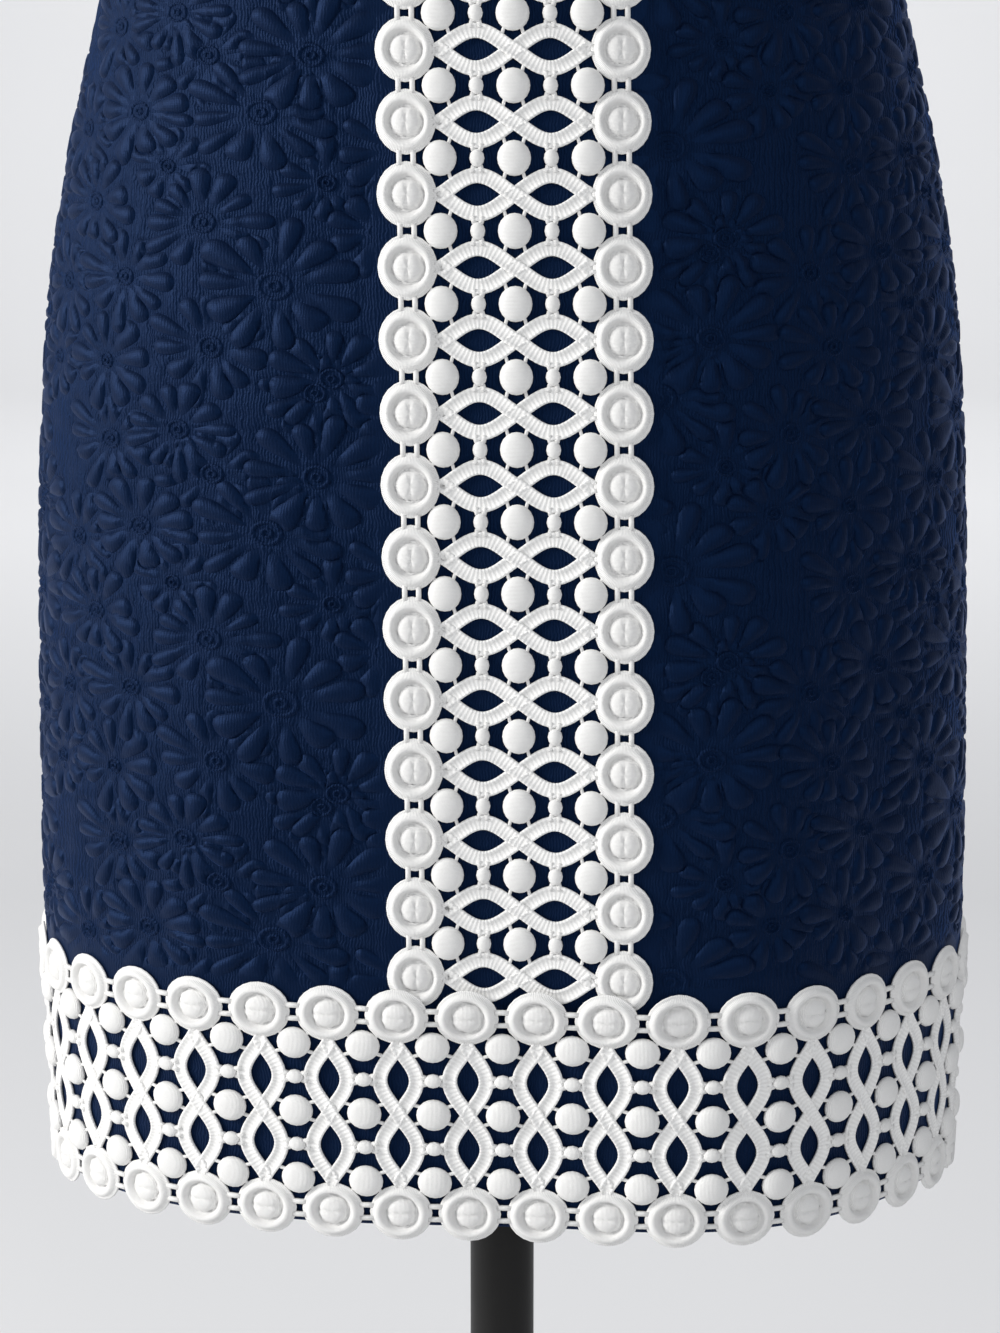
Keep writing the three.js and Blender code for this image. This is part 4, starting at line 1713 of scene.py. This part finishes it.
class FlatWork:
    """Collects flat-worked solids, with U across the band, W along it and Z up."""

    def __init__(self) -> None:
        """Starts empty."""
        self.points: list[Array] = []
        self.faces: list[list[int]] = []
        self.threads: list[tuple[float, float]] = []
        self.count = 0

    def loft(self, loops: Array, along: Array, around: Array) -> None:
        """Adds a surface through closed loops, capped at both ends.

        Args:
            loops: points as (loop, place round it, 3), anticlockwise seen from the last loop.
            along: the thread coordinate of each loop.
            around: the thread coordinate of each place, with one more for the closing place.
        """
        rows, sides = loops.shape[:2]
        walls = grid_faces(rows, sides, closed=True)
        caps = [list(range(sides))[::-1], list(range((rows - 1) * sides, rows * sides))]
        self.faces += [[self.count + i for i in face] for face in walls + caps]
        for r in range(rows - 1):
            for i in range(sides):
                self.threads += [
                    (around[i], along[r]), (around[i + 1], along[r]),
                    (around[i + 1], along[r + 1]), (around[i], along[r + 1]),
                ]
        self.threads += [(0.0, 0.0)] * (2 * sides)
        self.points.append(loops.reshape(-1, 3))
        self.count += rows * sides

    def rings(self, centre: tuple[float, float], profile: tuple, sides: int) -> Array:
        """A disc's loops, from (half width across, half width along, z) from the rim in."""
        turn = np.arange(sides) * 2 * math.pi / sides
        return np.array([
            np.stack([centre[0] + a * np.cos(turn), centre[1] + b * np.sin(turn),
                      np.full(sides, z)], 1)
            for a, b, z in profile
        ])

    def disc(self, loops: Array, satin: int) -> None:
        """Adds a disc through its loops, with its thread wrapped round the rim.

        Args:
            loops: points as (loop, place round it, 3), from the rim in.
            satin: the first loop that is covered with straight stitches instead.
        """
        sides = loops.shape[1]
        centre = loops[0].mean(0)
        mean = np.linalg.norm(loops[0] - centre, axis=1).mean() * 0.72
        around = np.arange(sides + 1) * 2 * math.pi / sides * mean
        base, corner, face = self.count, len(self.threads), len(self.faces)
        self.loft(loops, np.arange(len(loops)) * 1.0, around)
        places = loops.reshape(-1, 3)
        for corners in self.faces[face:]:
            if min(corners) - base >= satin * sides:
                for step, number in enumerate(corners):
                    u, w, _ = places[number - base]
                    self.threads[corner + step] = (w, u)
            corner += len(corners)

    def braid(self, line: Array, section: list, rung: float) -> None:
        """Adds a flat braid or bar along a line.

        Args:
            line: its centre line as (u, w, z).
            section: (offset aside, z) points, anticlockwise seen along the line.
            rung: how much thread coordinate each millimetre along it has.
        """
        run = np.gradient(line, axis=0)
        run /= np.linalg.norm(run[:, :2], axis=1, keepdims=True)
        aside = np.stack([-run[:, 1], run[:, 0], np.zeros(len(run))], 1)
        loops = np.array([
            [p + n * offset + (0, 0, z) for offset, z in section] for p, n in zip(line, aside)
        ])
        start = len(self.threads)
        self.loft(loops, arc_lengths(line) * rung, np.arange(len(section) + 1) * 1.0)
        self.threads[start:] = [(b, a) for a, b in self.threads[start:]]

    def mesh(self, name: str) -> bpy.types.Mesh:
        """The motif as a mesh in metres with its thread UV map.

        Args:
            name: the mesh's name.

        Returns:
            The mesh.
        """
        mesh = new_mesh(name, np.concatenate(self.points), self.faces)
        set_corner_uv(mesh, "thread", np.array(self.threads) * MM)
        return mesh


@dataclass
class GuipureRepeat:
    """One repeat of the lace: two medallions, two eyes of crossing braid, and balls."""

    pitch: float = 30.0
    column: float = 11.2
    tip: float = 25.0
    swing: float = 7.9
    ball: float = 6.9

    def medallion(self, work: FlatWork, u: float) -> None:
        """A padded ring round a split button, with a row of stitch holes between them.

        Args:
            work: what it is added to.
            u: where its column lies across the band.
        """
        rings = (
            (12.3, 13.6, 0.0), (12.4, 13.7, 0.6), (11.9, 13.2, 1.05), (11.4, 12.6, 0.9),
            (10.9, 12.0, 1.7), (10.2, 11.1, 2.6), (9.3, 10.0, 3.05), (8.4, 8.9, 2.7),
            (7.7, 8.0, 1.6), (7.3, 7.5, 0.55), (6.5, 6.6, 0.6), (6.1, 6.0, 1.3),
            (5.3, 5.2, 2.2), (3.8, 3.7, 2.85), (2.0, 2.0, 3.1), (0.6, 0.6, 3.15),
        )
        loops = work.rings((u, 0.0), rings, 24)
        loops[10, ::3, 2] = 1.05
        loops[10, 1::3, 2] = -0.5
        split = np.exp(-(((loops[11:, :, 0] - u) / 0.5) ** 2))
        loops[11:, :, 2] -= 0.75 * split
        work.disc(loops, 10)

    def braids(self, work: FlatWork) -> None:
        """The two ladder braids that cross and close the eyes, one over the other.

        Args:
            work: what they are added to.
        """
        centre = LACE_WIDTH / 2
        span = centre - self.tip
        section = (
            (3.2, 0.0), (3.2, 0.8), (2.7, 1.35), (2.0, 1.1), (1.3, 0.6),
            (-1.3, 0.6), (-2.0, 1.1), (-2.7, 1.35), (-3.2, 0.8), (-3.2, 0.0),
        )
        u = np.linspace(self.tip - 1.4, 2 * centre - self.tip + 1.4, 35)
        wave = np.sin(math.pi * (u - self.tip) / span)
        wave = np.sign(wave) * np.abs(wave) ** 1.2
        for side in (1, -1):
            over = 0.45 * bell(u, centre, 6) if side > 0 else np.zeros_like(u)
            line = np.stack([u, side * self.swing * wave, over], 1)
            work.braid(line, section, 0.3)

    def build(self) -> bpy.types.Mesh:
        """Makes the repeat.

        Returns:
            The flat motif's mesh.
        """
        work = FlatWork()
        centre, half = LACE_WIDTH / 2, self.pitch / 2
        thread = ((0.75, 0.0), (0.7, 0.75), (0.0, 1.0), (-0.7, 0.75), (-0.75, 0.0))
        thick = ((1.1, 0.0), (1.05, 1.1), (0.0, 1.5), (-1.05, 1.1), (-1.1, 0.0))
        for side in (-1, 1):
            u = centre + side * (centre - self.column)
            self.medallion(work, u)
            for aside in (-2.9, 2.9):
                ends = np.linspace((u + aside, half - 3.2, 0), (u + aside, half + 3.2, 0), 3)
                work.braid(ends, thick, 1.0)
            eye = centre + side * (centre - self.tip) / 2
            for end in (-1, 1):
                for aside in (-1.7, 1.7):
                    foot = (eye + aside * 0.75, half + end * 3.0, 0)
                    head = (eye + aside * 1.2, half + end * 6.0, 0)
                    work.braid(np.linspace(foot, head, 3), thick, 1.0)
            bead = ((3.1, 3.8, 0.0), (3.1, 3.8, 0.9), (2.8, 3.5, 1.7), (2.1, 2.7, 2.4),
                    (0.9, 1.2, 2.75), (0.3, 0.4, 2.8))
            work.disc(work.rings((eye, half), bead, 12), 0)
        self.braids(work)
        for step, u in enumerate((self.tip, centre, 2 * centre - self.tip)):
            dome = [(self.ball * reach, self.ball * reach * 1.07, z) for reach, z in (
                (1.0, 0.0), (1.01, 0.9), (0.95, 1.9), (0.8, 3.0), (0.55, 3.75), (0.2, 4.1))]
            work.disc(work.rings((u, half), dome, 20), 0)
            for end in (-1, 1):
                for side in (-1, 1):
                    inward = step == 1 or (step == 0) == (side > 0)
                    foot = (u + side * 3.4, half + end * 5.2, 0)
                    reach = (4.6, 9.2) if inward else (6.6, 8.2)
                    head = (u + side * reach[0], half + end * reach[1], 0)
                    work.braid(np.linspace(foot, head, 3), thread, 1.0)
        return work.mesh("guipure_repeat")


@dataclass
class LaceWork:
    """The two lace bands: one down the centre front and one round the hem."""

    finish: bpy.types.Material
    front: FlatPattern
    back: FlatPattern
    lift: float = 0.35
    pitch: float = GuipureRepeat.pitch
    guide_foot: float = 90.0
    guide_top: float = 935.0
    lowest_row: float = 117.3
    rows: int = 27
    hem_start: float = 22.4
    overlap: float = 2.8
    repeat: NodeTree = field(default_factory=repeat_tree)
    wrapping: NodeTree = field(default_factory=wrap_tree)

    def guide(self, places: Array, out: Array, band: Array) -> bpy.types.Object:
        """A guide surface for the wrapping tree.

        Args:
            places: its grid of points in millimetres.
            out: the outward normal at each.
            band: the flat share across and along that each carries.

        Returns:
            The guide object.
        """
        mesh = new_mesh("guide", places.reshape(-1, 3), grid_faces(*places.shape[:2], False))
        set_corner_uv(mesh, "band", band.reshape(-1, 2)[corner_vertices(mesh)])
        layer = mesh.attributes.new("out", "FLOAT_VECTOR", "POINT")
        layer.data.foreach_set("vector", out.ravel())
        return add_piece("guide", mesh)

    def guide_on(self, pattern: FlatPattern, across: Array, along: Array, lift: float,
                 length: float, middle: float = LACE_WIDTH / 2) -> bpy.types.Object:
        """A guide surface laid on a flat pattern's centre line.

        Args:
            pattern: the pattern.
            across: places across it.
            along: places up it.
            lift: how far it stands off the dress.
            length: what its band map calls one along it.
            middle: where its centre line lies across the band.

        Returns:
            The guide object.
        """
        s, v = np.meshgrid(across, along)
        h = pattern.height(v)
        out = SURFACE.normal(h, pattern.angle(s, h))
        band = np.stack([(s + middle) / LACE_WIDTH, v / length], -1)
        return self.guide(pattern.lay(s, v, lift), out, band)

    def strip(self, motif: bpy.types.Mesh, repeats: int, pitch: float,
              start: float) -> bpy.types.Mesh:
        """A flat length of a repeated motif, whose first middle lies at start."""
        values = {"Motif": add_piece("motif", motif), "Repeats": repeats, "Pitch": pitch * MM,
                  "Start": start * MM, "Material": self.finish}
        return self.repeat.grow("strip", bpy.data.meshes.new("base"), values)

    def wrap(self, name: str, flat: bpy.types.Mesh, guide: bpy.types.Object, length: float,
             finish: bpy.types.Material, lift: float) -> bpy.types.Object:
        """Wraps a flat length over its guide.

        Args:
            name: the piece's name.
            flat: the flat mesh.
            guide: the guide surface.
            length: what the guide's band map calls one along it.
            finish: the piece's finish.
            lift: how far it stands off the guide.

        Returns:
            The piece.
        """
        values = {"Guide": guide, "Width": LACE_WIDTH * MM, "Length": length * MM,
                  "Lift": lift * MM, "Material": finish}
        mesh = self.wrapping.grow(name, flat, values)
        mesh.shade_smooth()
        return add_piece(name, mesh)

    def cut_at_neck(self, flat: bpy.types.Mesh) -> None:
        """Cuts the flat front band along the neck edge.

        Args:
            flat: the flat mesh, which is changed.
        """
        h, angle = neck_edge(np.linspace(0, 1, 200), back=False)
        edge_s, edge_v = self.front.arc(h, angle), self.front.length(h)
        points = np.zeros(3 * len(flat.vertices))
        flat.vertices.foreach_get("co", points)
        points = points.reshape(-1, 3)
        s = np.abs(points[:, 0] / MM - LACE_WIDTH / 2)
        limit = (np.interp(s, edge_s, edge_v) - 0.6) * MM
        beyond = points[:, 1] > limit
        points[:, 1] = np.minimum(points[:, 1], limit)
        flat.vertices.foreach_set("co", points.ravel())
        work = bmesh.new()
        work.from_mesh(flat)
        work.verts.ensure_lookup_table()
        gone = [f for f in work.faces if all(beyond[v.index] for v in f.verts)]
        bmesh.ops.delete(work, geom=gone, context="FACES")
        work.to_mesh(flat)
        work.free()

    def front_band(self) -> bpy.types.Object:
        """The band down the centre front.

        Returns:
            The piece.
        """
        length = 1000.0
        flat = self.strip(GuipureRepeat().build(), self.rows, self.pitch, self.lowest_row)
        self.cut_at_neck(flat)
        across = np.linspace(-4, LACE_WIDTH + 4, 24) - LACE_WIDTH / 2
        along = np.linspace(self.guide_foot, self.guide_top, 212)
        guide = self.guide_on(self.front, across, along, 0.0, length)
        return self.wrap("front_lace_band", flat, guide, length, self.finish, self.lift)

    def hem_band(self) -> bpy.types.Object:
        """The closed band round the hem, raised where it crosses the front band.

        Returns:
            The piece.
        """
        turns = np.linspace(-math.pi, math.pi, 2881)
        u = np.linspace(-3, LACE_WIDTH + 3, 25)
        arcs = arc_lengths(SURFACE.point(*np.meshgrid(u, turns, indexing="ij")))
        around = float(arcs[:, -1].mean())
        repeats = round(around / self.pitch)
        length = repeats * self.pitch
        w = np.arange(-24.0, length + 24.1, 4.0)
        angles = []
        for row in arcs:
            total = row[-1]
            wanted = row[len(turns) // 2] + self.hem_start + w / length * total
            laps, rest = np.divmod(wanted, total)
            angles.append(np.interp(rest, row, turns) + laps * 2 * math.pi)
        angle = np.array(angles)
        h, _ = np.meshgrid(u, w, indexing="ij")
        s = self.front.arc(h, wrapped(angle))
        near = smooth_step(h, 86, 100) * (1 - smooth_step(np.abs(s), 57, 70))
        out = SURFACE.normal(h, angle)
        off = near * self.overlap + self.drape_all_round(h, angle)
        grid = SURFACE.point(h, angle) + out * off[..., None]
        band = np.stack([h / LACE_WIDTH, np.broadcast_to(w / length, h.shape)], -1)
        flat = self.strip(GuipureRepeat().build(), repeats, self.pitch, self.pitch / 2)
        guide = self.guide(*(part.swapaxes(0, 1) for part in (grid, out, band)))
        log.info("hem: %.1f mm round, %d repeats of %.2f mm", around, repeats, around / repeats)
        return self.wrap("hem_lace_band", flat, guide, length, self.finish, self.lift)

    def drape_all_round(self, h: Array, angle: Array) -> Array:
        """How far the creases move the cloth out, all round the hem.

        Args:
            h: heights.
            angle: angles on the dress.

        Returns:
            Signed offsets.
        """
        turned = wrapped(angle)
        front = drape(self.front.arc(h, np.clip(turned, -1.9, 1.9)), h, Centre.FRONT.value)
        from_back = np.where(turned < 0, turned + 2 * math.pi, turned)
        clipped = np.clip(from_back, math.pi - 1.9, math.pi + 1.9)
        back = drape(self.back.arc(h, clipped), h, Centre.BACK.value)
        return np.where(np.abs(turned) <= math.pi / 2, front, back)

    def build(self) -> None:
        front, hem = self.front_band(), self.hem_band()
        over = ["puffed_front", "puffed_back_right", "puffed_back_left"]
        for piece, node, flat, rests in ((front, "front_lace", (0.111, 0.80), over[:1]),
                                         (hem, "hem_lace", (1.13, 0.111), over)):
            declare(piece, node)
            log.info("%s: %d faces", piece.name, len(piece.data.polygons))


# ---- The dress, form and stand ----


@dataclass
class Dress:
    """The cloth of the dress."""

    front: FlatPattern
    back: FlatPattern
    finish: bpy.types.Material

    def bust_darts(self) -> tuple[Dart, ...]:
        """The darts from the side seams to the bust.

        Returns:
            One for each side.
        """
        darts = []
        for side in (-1, 1):
            start = float(self.front.arc(738, side * 1.56))
            apex = float(self.front.arc(706, side * SURFACE.bust_angle))
            foot, top = float(self.front.length(738)), float(self.front.length(706))
            darts.append(Dart((start, foot), (apex + side * 24, top)))
        return tuple(darts)

    def waist_darts(self, side: int) -> tuple[Dart, ...]:
        """A back's dart, from the hip through the waist to the shoulder blade.

        Args:
            side: 1 or -1, the side of the centre seam.

        Returns:
            Its lower and upper halves.
        """
        foot, waist, top = (float(self.back.length(h)) for h in (462, 600, 742))
        return (
            Dart((side * 84, foot), (side * 78, waist), 0.7),
            Dart((side * 78, waist), (side * 82, top), 0.7),
        )

    def build(self) -> None:
        """Makes the three panels."""
        PuffedPanel("puffed_front", "front_panel", self.front, front_outline(self.front),
                    self.bust_darts(), LACE_WIDTH / 2 + 1.5).build(self.finish)
        for side, word in ((-1, "right"), (1, "left")):
            outline = back_outline(self.back, side < 0)
            PuffedPanel(f"puffed_back_{word}", f"back_{word}_panel", self.back, outline,
                        self.waist_darts(side)).build(self.finish)


@dataclass
class Zip:
    """The centre-back zip's tape and coil, in the slot between the backs."""

    back: FlatPattern
    tape_finish: bpy.types.Material
    half_width: float = CHAIN_HALF_WIDTH
    coil_pitch: float = 1.15
    top_gap: float = 4.0

    def strip(self, top: float) -> tuple[Array, list]:
        """The closed strip of tape.

        Args:
            top: where it ends up the pattern.

        Returns:
            Points and faces.
        """
        v = np.linspace(float(self.back.length(ZIP_FOOT)) + 0.5, top, 150)
        section = [(-1, -0.75), (-1, -1.35), (1, -1.35), (1, -0.75), (0.45, -0.55),
                   (-0.45, -0.55)]
        rows = [
            self.back.lay(np.full_like(v, k * self.half_width), v, np.full_like(v, z))
            for k, z in section
        ]
        points = np.stack(rows, 1).reshape(-1, 3)
        sides = len(section)
        faces = grid_faces(len(v), sides, closed=True)
        faces += [list(range(sides))[::-1], [(len(v) - 1) * sides + i for i in range(sides)]]
        return points, faces

    def build(self, lace: LaceWork) -> None:
        """Makes the tape and the coil.

        Args:
            lace: lends its trees and guides.
        """
        top = float(self.back.length(NECK_POINT - NECK_DROP_BACK)) - self.top_gap
        points, faces = self.strip(top)
        mesh = new_mesh("zip_tape", points, faces)
        mesh.materials.append(self.tape_finish)
        tape = add_piece("zip_tape_strip", mesh)
        declare(tape, "zip_chain")
        coil = self.coil(lace, top)
        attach(coil, "dress")
        log.info("zip: tape %d faces, coil %d faces", len(faces), len(coil.data.polygons))

    def coil(self, lace: LaceWork, top: float) -> bpy.types.Object:
        """The coil's turns, wrapped over the tape.

        Args:
            lace: lends its trees and guides.
            top: where the coil ends up the pattern.

        Returns:
            The piece.
        """
        work = FlatWork()
        reach = self.half_width * 0.78
        section = [(0.36, 0.0), (0.3, 0.32), (0.0, 0.48), (-0.3, 0.32), (-0.36, 0.0)]
        lean = self.coil_pitch * 0.25
        middle = LACE_WIDTH / 2
        line = [(middle + reach * k, lean * k, 0.0 if abs(k) < 1 else -0.25)
                for k in (-1, -0.6, 0, 0.6, 1)]
        work.braid(np.array(line, float), section, 1.0)
        foot = float(self.back.length(ZIP_FOOT)) + 2.0
        count = int((top - 1.0 - foot) / self.coil_pitch)
        flat = lace.strip(work.mesh("coil_turn"), count, self.coil_pitch, foot)
        guide = lace.guide_on(self.back, np.linspace(-4, 4, 5),
                              np.linspace(foot - 5, top + 5, 180), -0.55, 1000.0)
        return lace.wrap("zip_coil_turns", flat, guide, 1000.0, self.tape_finish, 0.0)


@dataclass
class FormStand:
    """The limbless form and the stand that it is on."""

    cover: bpy.types.Material
    wood: bpy.types.Material
    paint: bpy.types.Material
    seams: tuple[float, ...] = (0, 38, 90, 140, 180, 220, 270, 322)
    cap_thick: float = 14.0
    pole_radius: float = 15.0
    socket_height: float = 46.0
    base_radius: float = 200.0
    base_thick: float = 10.0
    collar_height: float = 48.0

    def dressed(self, name: str, node: str, slot: str, points: Array, faces: list,
                material: bpy.types.Material) -> bpy.types.Object:
        """Makes a piece that stands for a node of the stand.

        Args:
            name: the piece's name.
            node: the CAD node it replaces.
            slot: the name of a material slot, which is not used.
            points: its points in millimetres.
            faces: its faces.
            material: its finish.

        Returns:
            The piece.
        """
        mesh = new_mesh(name, points, faces)
        mesh.materials.append(material)
        mesh.set_sharp_from_angle(angle=math.radians(40))
        piece = add_piece(name, mesh)
        declare(piece, node)
        log.info("%s: %d faces", name, len(faces))
        return piece

    def torso(self) -> None:
        """The covered torso, with its panel seams drawn in."""
        near = [-1.6, -0.8, 0.0, 0.8, 1.6]
        angles = set(np.arange(0, 360, 4.0).tolist())
        for seam in self.seams:
            angles = {a for a in angles if abs(a - seam) > 2.2 and abs(a - seam - 360) > 2.2}
            angles |= {(seam + d) % 360 for d in near}
        degrees = np.array(sorted(angles))
        turn = np.radians(degrees)
        steps = np.concatenate([
            [FORM_BOTTOM, 264, 267, 272, 280], np.arange(290, 880, 9.0),
            np.arange(880, 980, 3.0), np.arange(980, FORM_NECK_TOP, 6.0), [FORM_NECK_TOP],
        ])
        h, a = np.meshgrid(steps, turn, indexing="ij")
        gap = np.min([np.abs((degrees - s + 180) % 360 - 180) for s in self.seams], axis=0)
        groove = -0.7 * np.exp(-((gap / 0.7) ** 2))
        places = FORM_SHAPE.point(h, a, groove)
        rows, sides = h.shape
        points = [*places.reshape(-1, 3), (0, 0, HEM_HEIGHT + FORM_BOTTOM),
                  (0, 0, HEM_HEIGHT + FORM_NECK_TOP)]
        faces = grid_faces(rows, sides, closed=True)
        top, under = (rows - 1) * sides, rows * sides
        for i in range(sides):
            j = (i + 1) % sides
            faces += [[under, j, i], [under + 1, top + i, top + j]]
        piece = self.dressed("covered_torso", "form_torso", "form_cover", np.array(points), faces,
                             self.cover)

    def turned(self, name: str, node: str, slot: str, profile: list, closed: bool,
               material: bpy.types.Material) -> None:
        """A turned piece with rounded edges; a closed section runs round a bore."""
        outline = rounded(profile, 1.2)
        self.dressed(name, node, slot, *revolve(outline, 96, closed), material)

    def build(self) -> None:
        """Makes the torso, cap, socket, pole, collar and base."""
        self.torso()
        top = HEM_HEIGHT + FORM_NECK_TOP + SEAM_GAP
        r = float(FORM_SHAPE.side(FORM_NECK_TOP))
        self.turned("turned_cap", "neck_cap", "neck_wood", [
            (0, top), (r - 1, top), (r + 1, top + 2), (r + 1, top + self.cap_thick - 5),
            (r - 3, top + self.cap_thick - 1.5), (r * 0.6, top + self.cap_thick),
            (0, top + self.cap_thick + 1),
        ], False, self.wood)
        foot = HEM_HEIGHT + FORM_BOTTOM - SEAM_GAP
        bore = self.pole_radius + SEAM_GAP
        low = foot - self.socket_height
        self.turned("flanged_socket", "form_socket", "satin_black", [
            (bore, low), (bore + 5, low), (bore + 6, low + 2), (bore + 6, foot - 12),
            (bore + 12, foot - 6), (bore + 30, foot - 5), (bore + 31, foot - 1),
            (bore + 30, foot), (bore, foot),
        ], True, self.paint)
        floor = self.base_thick + SEAM_GAP
        self.turned("round_pole", "pole", "satin_black", [
            (0, floor), (self.pole_radius, floor), (self.pole_radius, foot - SEAM_GAP),
            (0, foot - SEAM_GAP),
        ], False, self.paint)
        high = floor + self.collar_height
        self.turned("pole_collar", "base_collar", "satin_black", [
            (bore, floor), (bore + 24, floor), (bore + 25, floor + 3), (bore + 14, floor + 9),
            (bore + 7, floor + 20), (bore + 5, high - 2), (bore + 3, high), (bore, high),
        ], True, self.paint)
        edge, thick = self.base_radius, self.base_thick
        self.turned("round_base", "base_plate", "satin_black", [
            (0, 0), (edge - 1.5, 0), (edge, 1.5), (edge, thick - 4), (edge - 1.5, thick - 1.5),
            (edge - 5, thick), (0, thick),
        ], False, self.paint)


# ---- The studio ----


@dataclass
class Studio:
    """The camera, the lights and the pale sweep behind the form."""

    distance: float = 1.5
    camera_height: float = 0.974
    pitch: float = 0.1896
    lens: float = 90.0
    floor: float = 7.5
    bend: float = 2.0

    def camera(self) -> None:
        """Sets the camera in front of the skirt, looking a little down."""
        data = bpy.data.cameras.new("camera")
        data.lens, data.sensor_width = self.lens, 36.0
        data.clip_end = 50.0
        holder = bpy.data.objects.new("camera", data)
        holder.location = (-0.001, -self.distance, self.camera_height)
        holder.rotation_euler = (math.pi / 2 - self.pitch, 0.0, 0.0)
        bpy.context.scene.collection.objects.link(holder)
        bpy.context.scene.camera = holder

    def light(self, name: str, place: tuple, aim: tuple, size: float, power: float,
              colour: tuple) -> None:
        """Adds a soft square light.

        Args:
            name: its name.
            place: where it stands.
            aim: the point that it faces.
            size: its side.
            power: its power in watts.
            colour: its colour.
        """
        data = bpy.data.lights.new(name, "AREA")
        data.size, data.energy, data.color = size, power, colour
        holder = bpy.data.objects.new(name, data)
        holder.location = place
        holder.visible_camera = False
        way = Vector(aim) - Vector(place)
        holder.rotation_euler = way.to_track_quat("-Z", "Y").to_euler()
        bpy.context.scene.collection.objects.link(holder)

    def sweep(self) -> None:
        """The pale floor that curves up into a wall."""
        run = [(-self.floor, 0.0), (self.floor, 0.0)]
        for step in range(1, 13):
            turn = step / 12 * math.pi / 2
            rise = self.bend - self.bend * math.cos(turn)
            run.append((self.floor + self.bend * math.sin(turn), rise))
        run.append((self.floor + self.bend, self.floor))
        points = [(x, y, z) for y, z in run for x in (-self.floor * 1.5, self.floor * 1.5)]
        faces = [[2 * i, 2 * i + 1, 2 * i + 3, 2 * i + 2] for i in range(len(run) - 1)]
        mesh = new_mesh("sweep", np.array(points) / MM, faces)
        mesh.materials.append(PalePaper("pale_paper", (0.7, 0.7, 0.7), 0.9).build())
        add_piece("sweep", mesh)

    def build(self) -> None:
        """Sets up the whole studio."""
        bpy.context.scene.view_settings.view_transform = "Standard"
        self.camera()
        self.sweep()
        world = bpy.data.worlds.new("soft_room")
        world.use_nodes = True
        background = world.node_tree.nodes["Background"]
        background.inputs["Color"].default_value = (0.9, 0.93, 1.0, 1.0)
        background.inputs["Strength"].default_value = 0.34
        bpy.context.scene.world = world
        self.light("key", (-3.0, -0.9, 1.9), (0, 0, 0.8), 1.2, 118, (1.0, 0.99, 0.97))
        self.light("fill", (0.9, -2.8, 1.9), (0, 0, 0.8), 1.4, 27, (0.98, 0.99, 1.0))
        self.light("wall", (0.0, 4.6, 5.4), (0, 9.5, 3.2), 5.0, 330, (1.0, 1.0, 1.0))
        self.light("floor", (0.0, 1.8, 3.6), (0, 1.8, 0.0), 2.5, 50, (1.0, 1.0, 1.0))


def main() -> None:
    """Builds the dress round the frame."""
    logging.basicConfig(level=logging.INFO, format="%(name)s: %(message)s")
    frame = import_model()
    Studio().build()
    cloth = Cloque("cloque", (0.0011, 0.0034, 0.0118), 0.6).build()
    thread = LaceThread("white_thread", (0.84, 0.835, 0.82), 0.8, 0.04).build()
    tape = Woven("zip_tape", (0.003, 0.006, 0.018), 0.7, 0.1, 2600.0).build()
    metal = BrightMetal("nickel", (0.70, 0.71, 0.73), 0.22, 0.05).build()
    front, back = FlatPattern(Centre.FRONT), FlatPattern(Centre.BACK)
    Dress(front, back, cloth).build()
    lace = LaceWork(thread, front, back)
    lace.build()
    Zip(back, tape).build(lace)
    FormStand(
        Woven("cover", (0.60, 0.56, 0.50), 0.85, 0.06).build(),
        TurnedWood("beech", (0.52, 0.33, 0.17), 0.45).build(),
        SatinPaint("satin_black", (0.004, 0.0038, 0.0034), 0.42, 0.2).build(),
    ).build()
    for node in ("zip_slider", "zip_pull"):
        for material_slot in frame["nodes"][node].material_slots:
            material_slot.material = metal
        log.info("%s: plated", node)


if __name__ == "__main__":
    main()
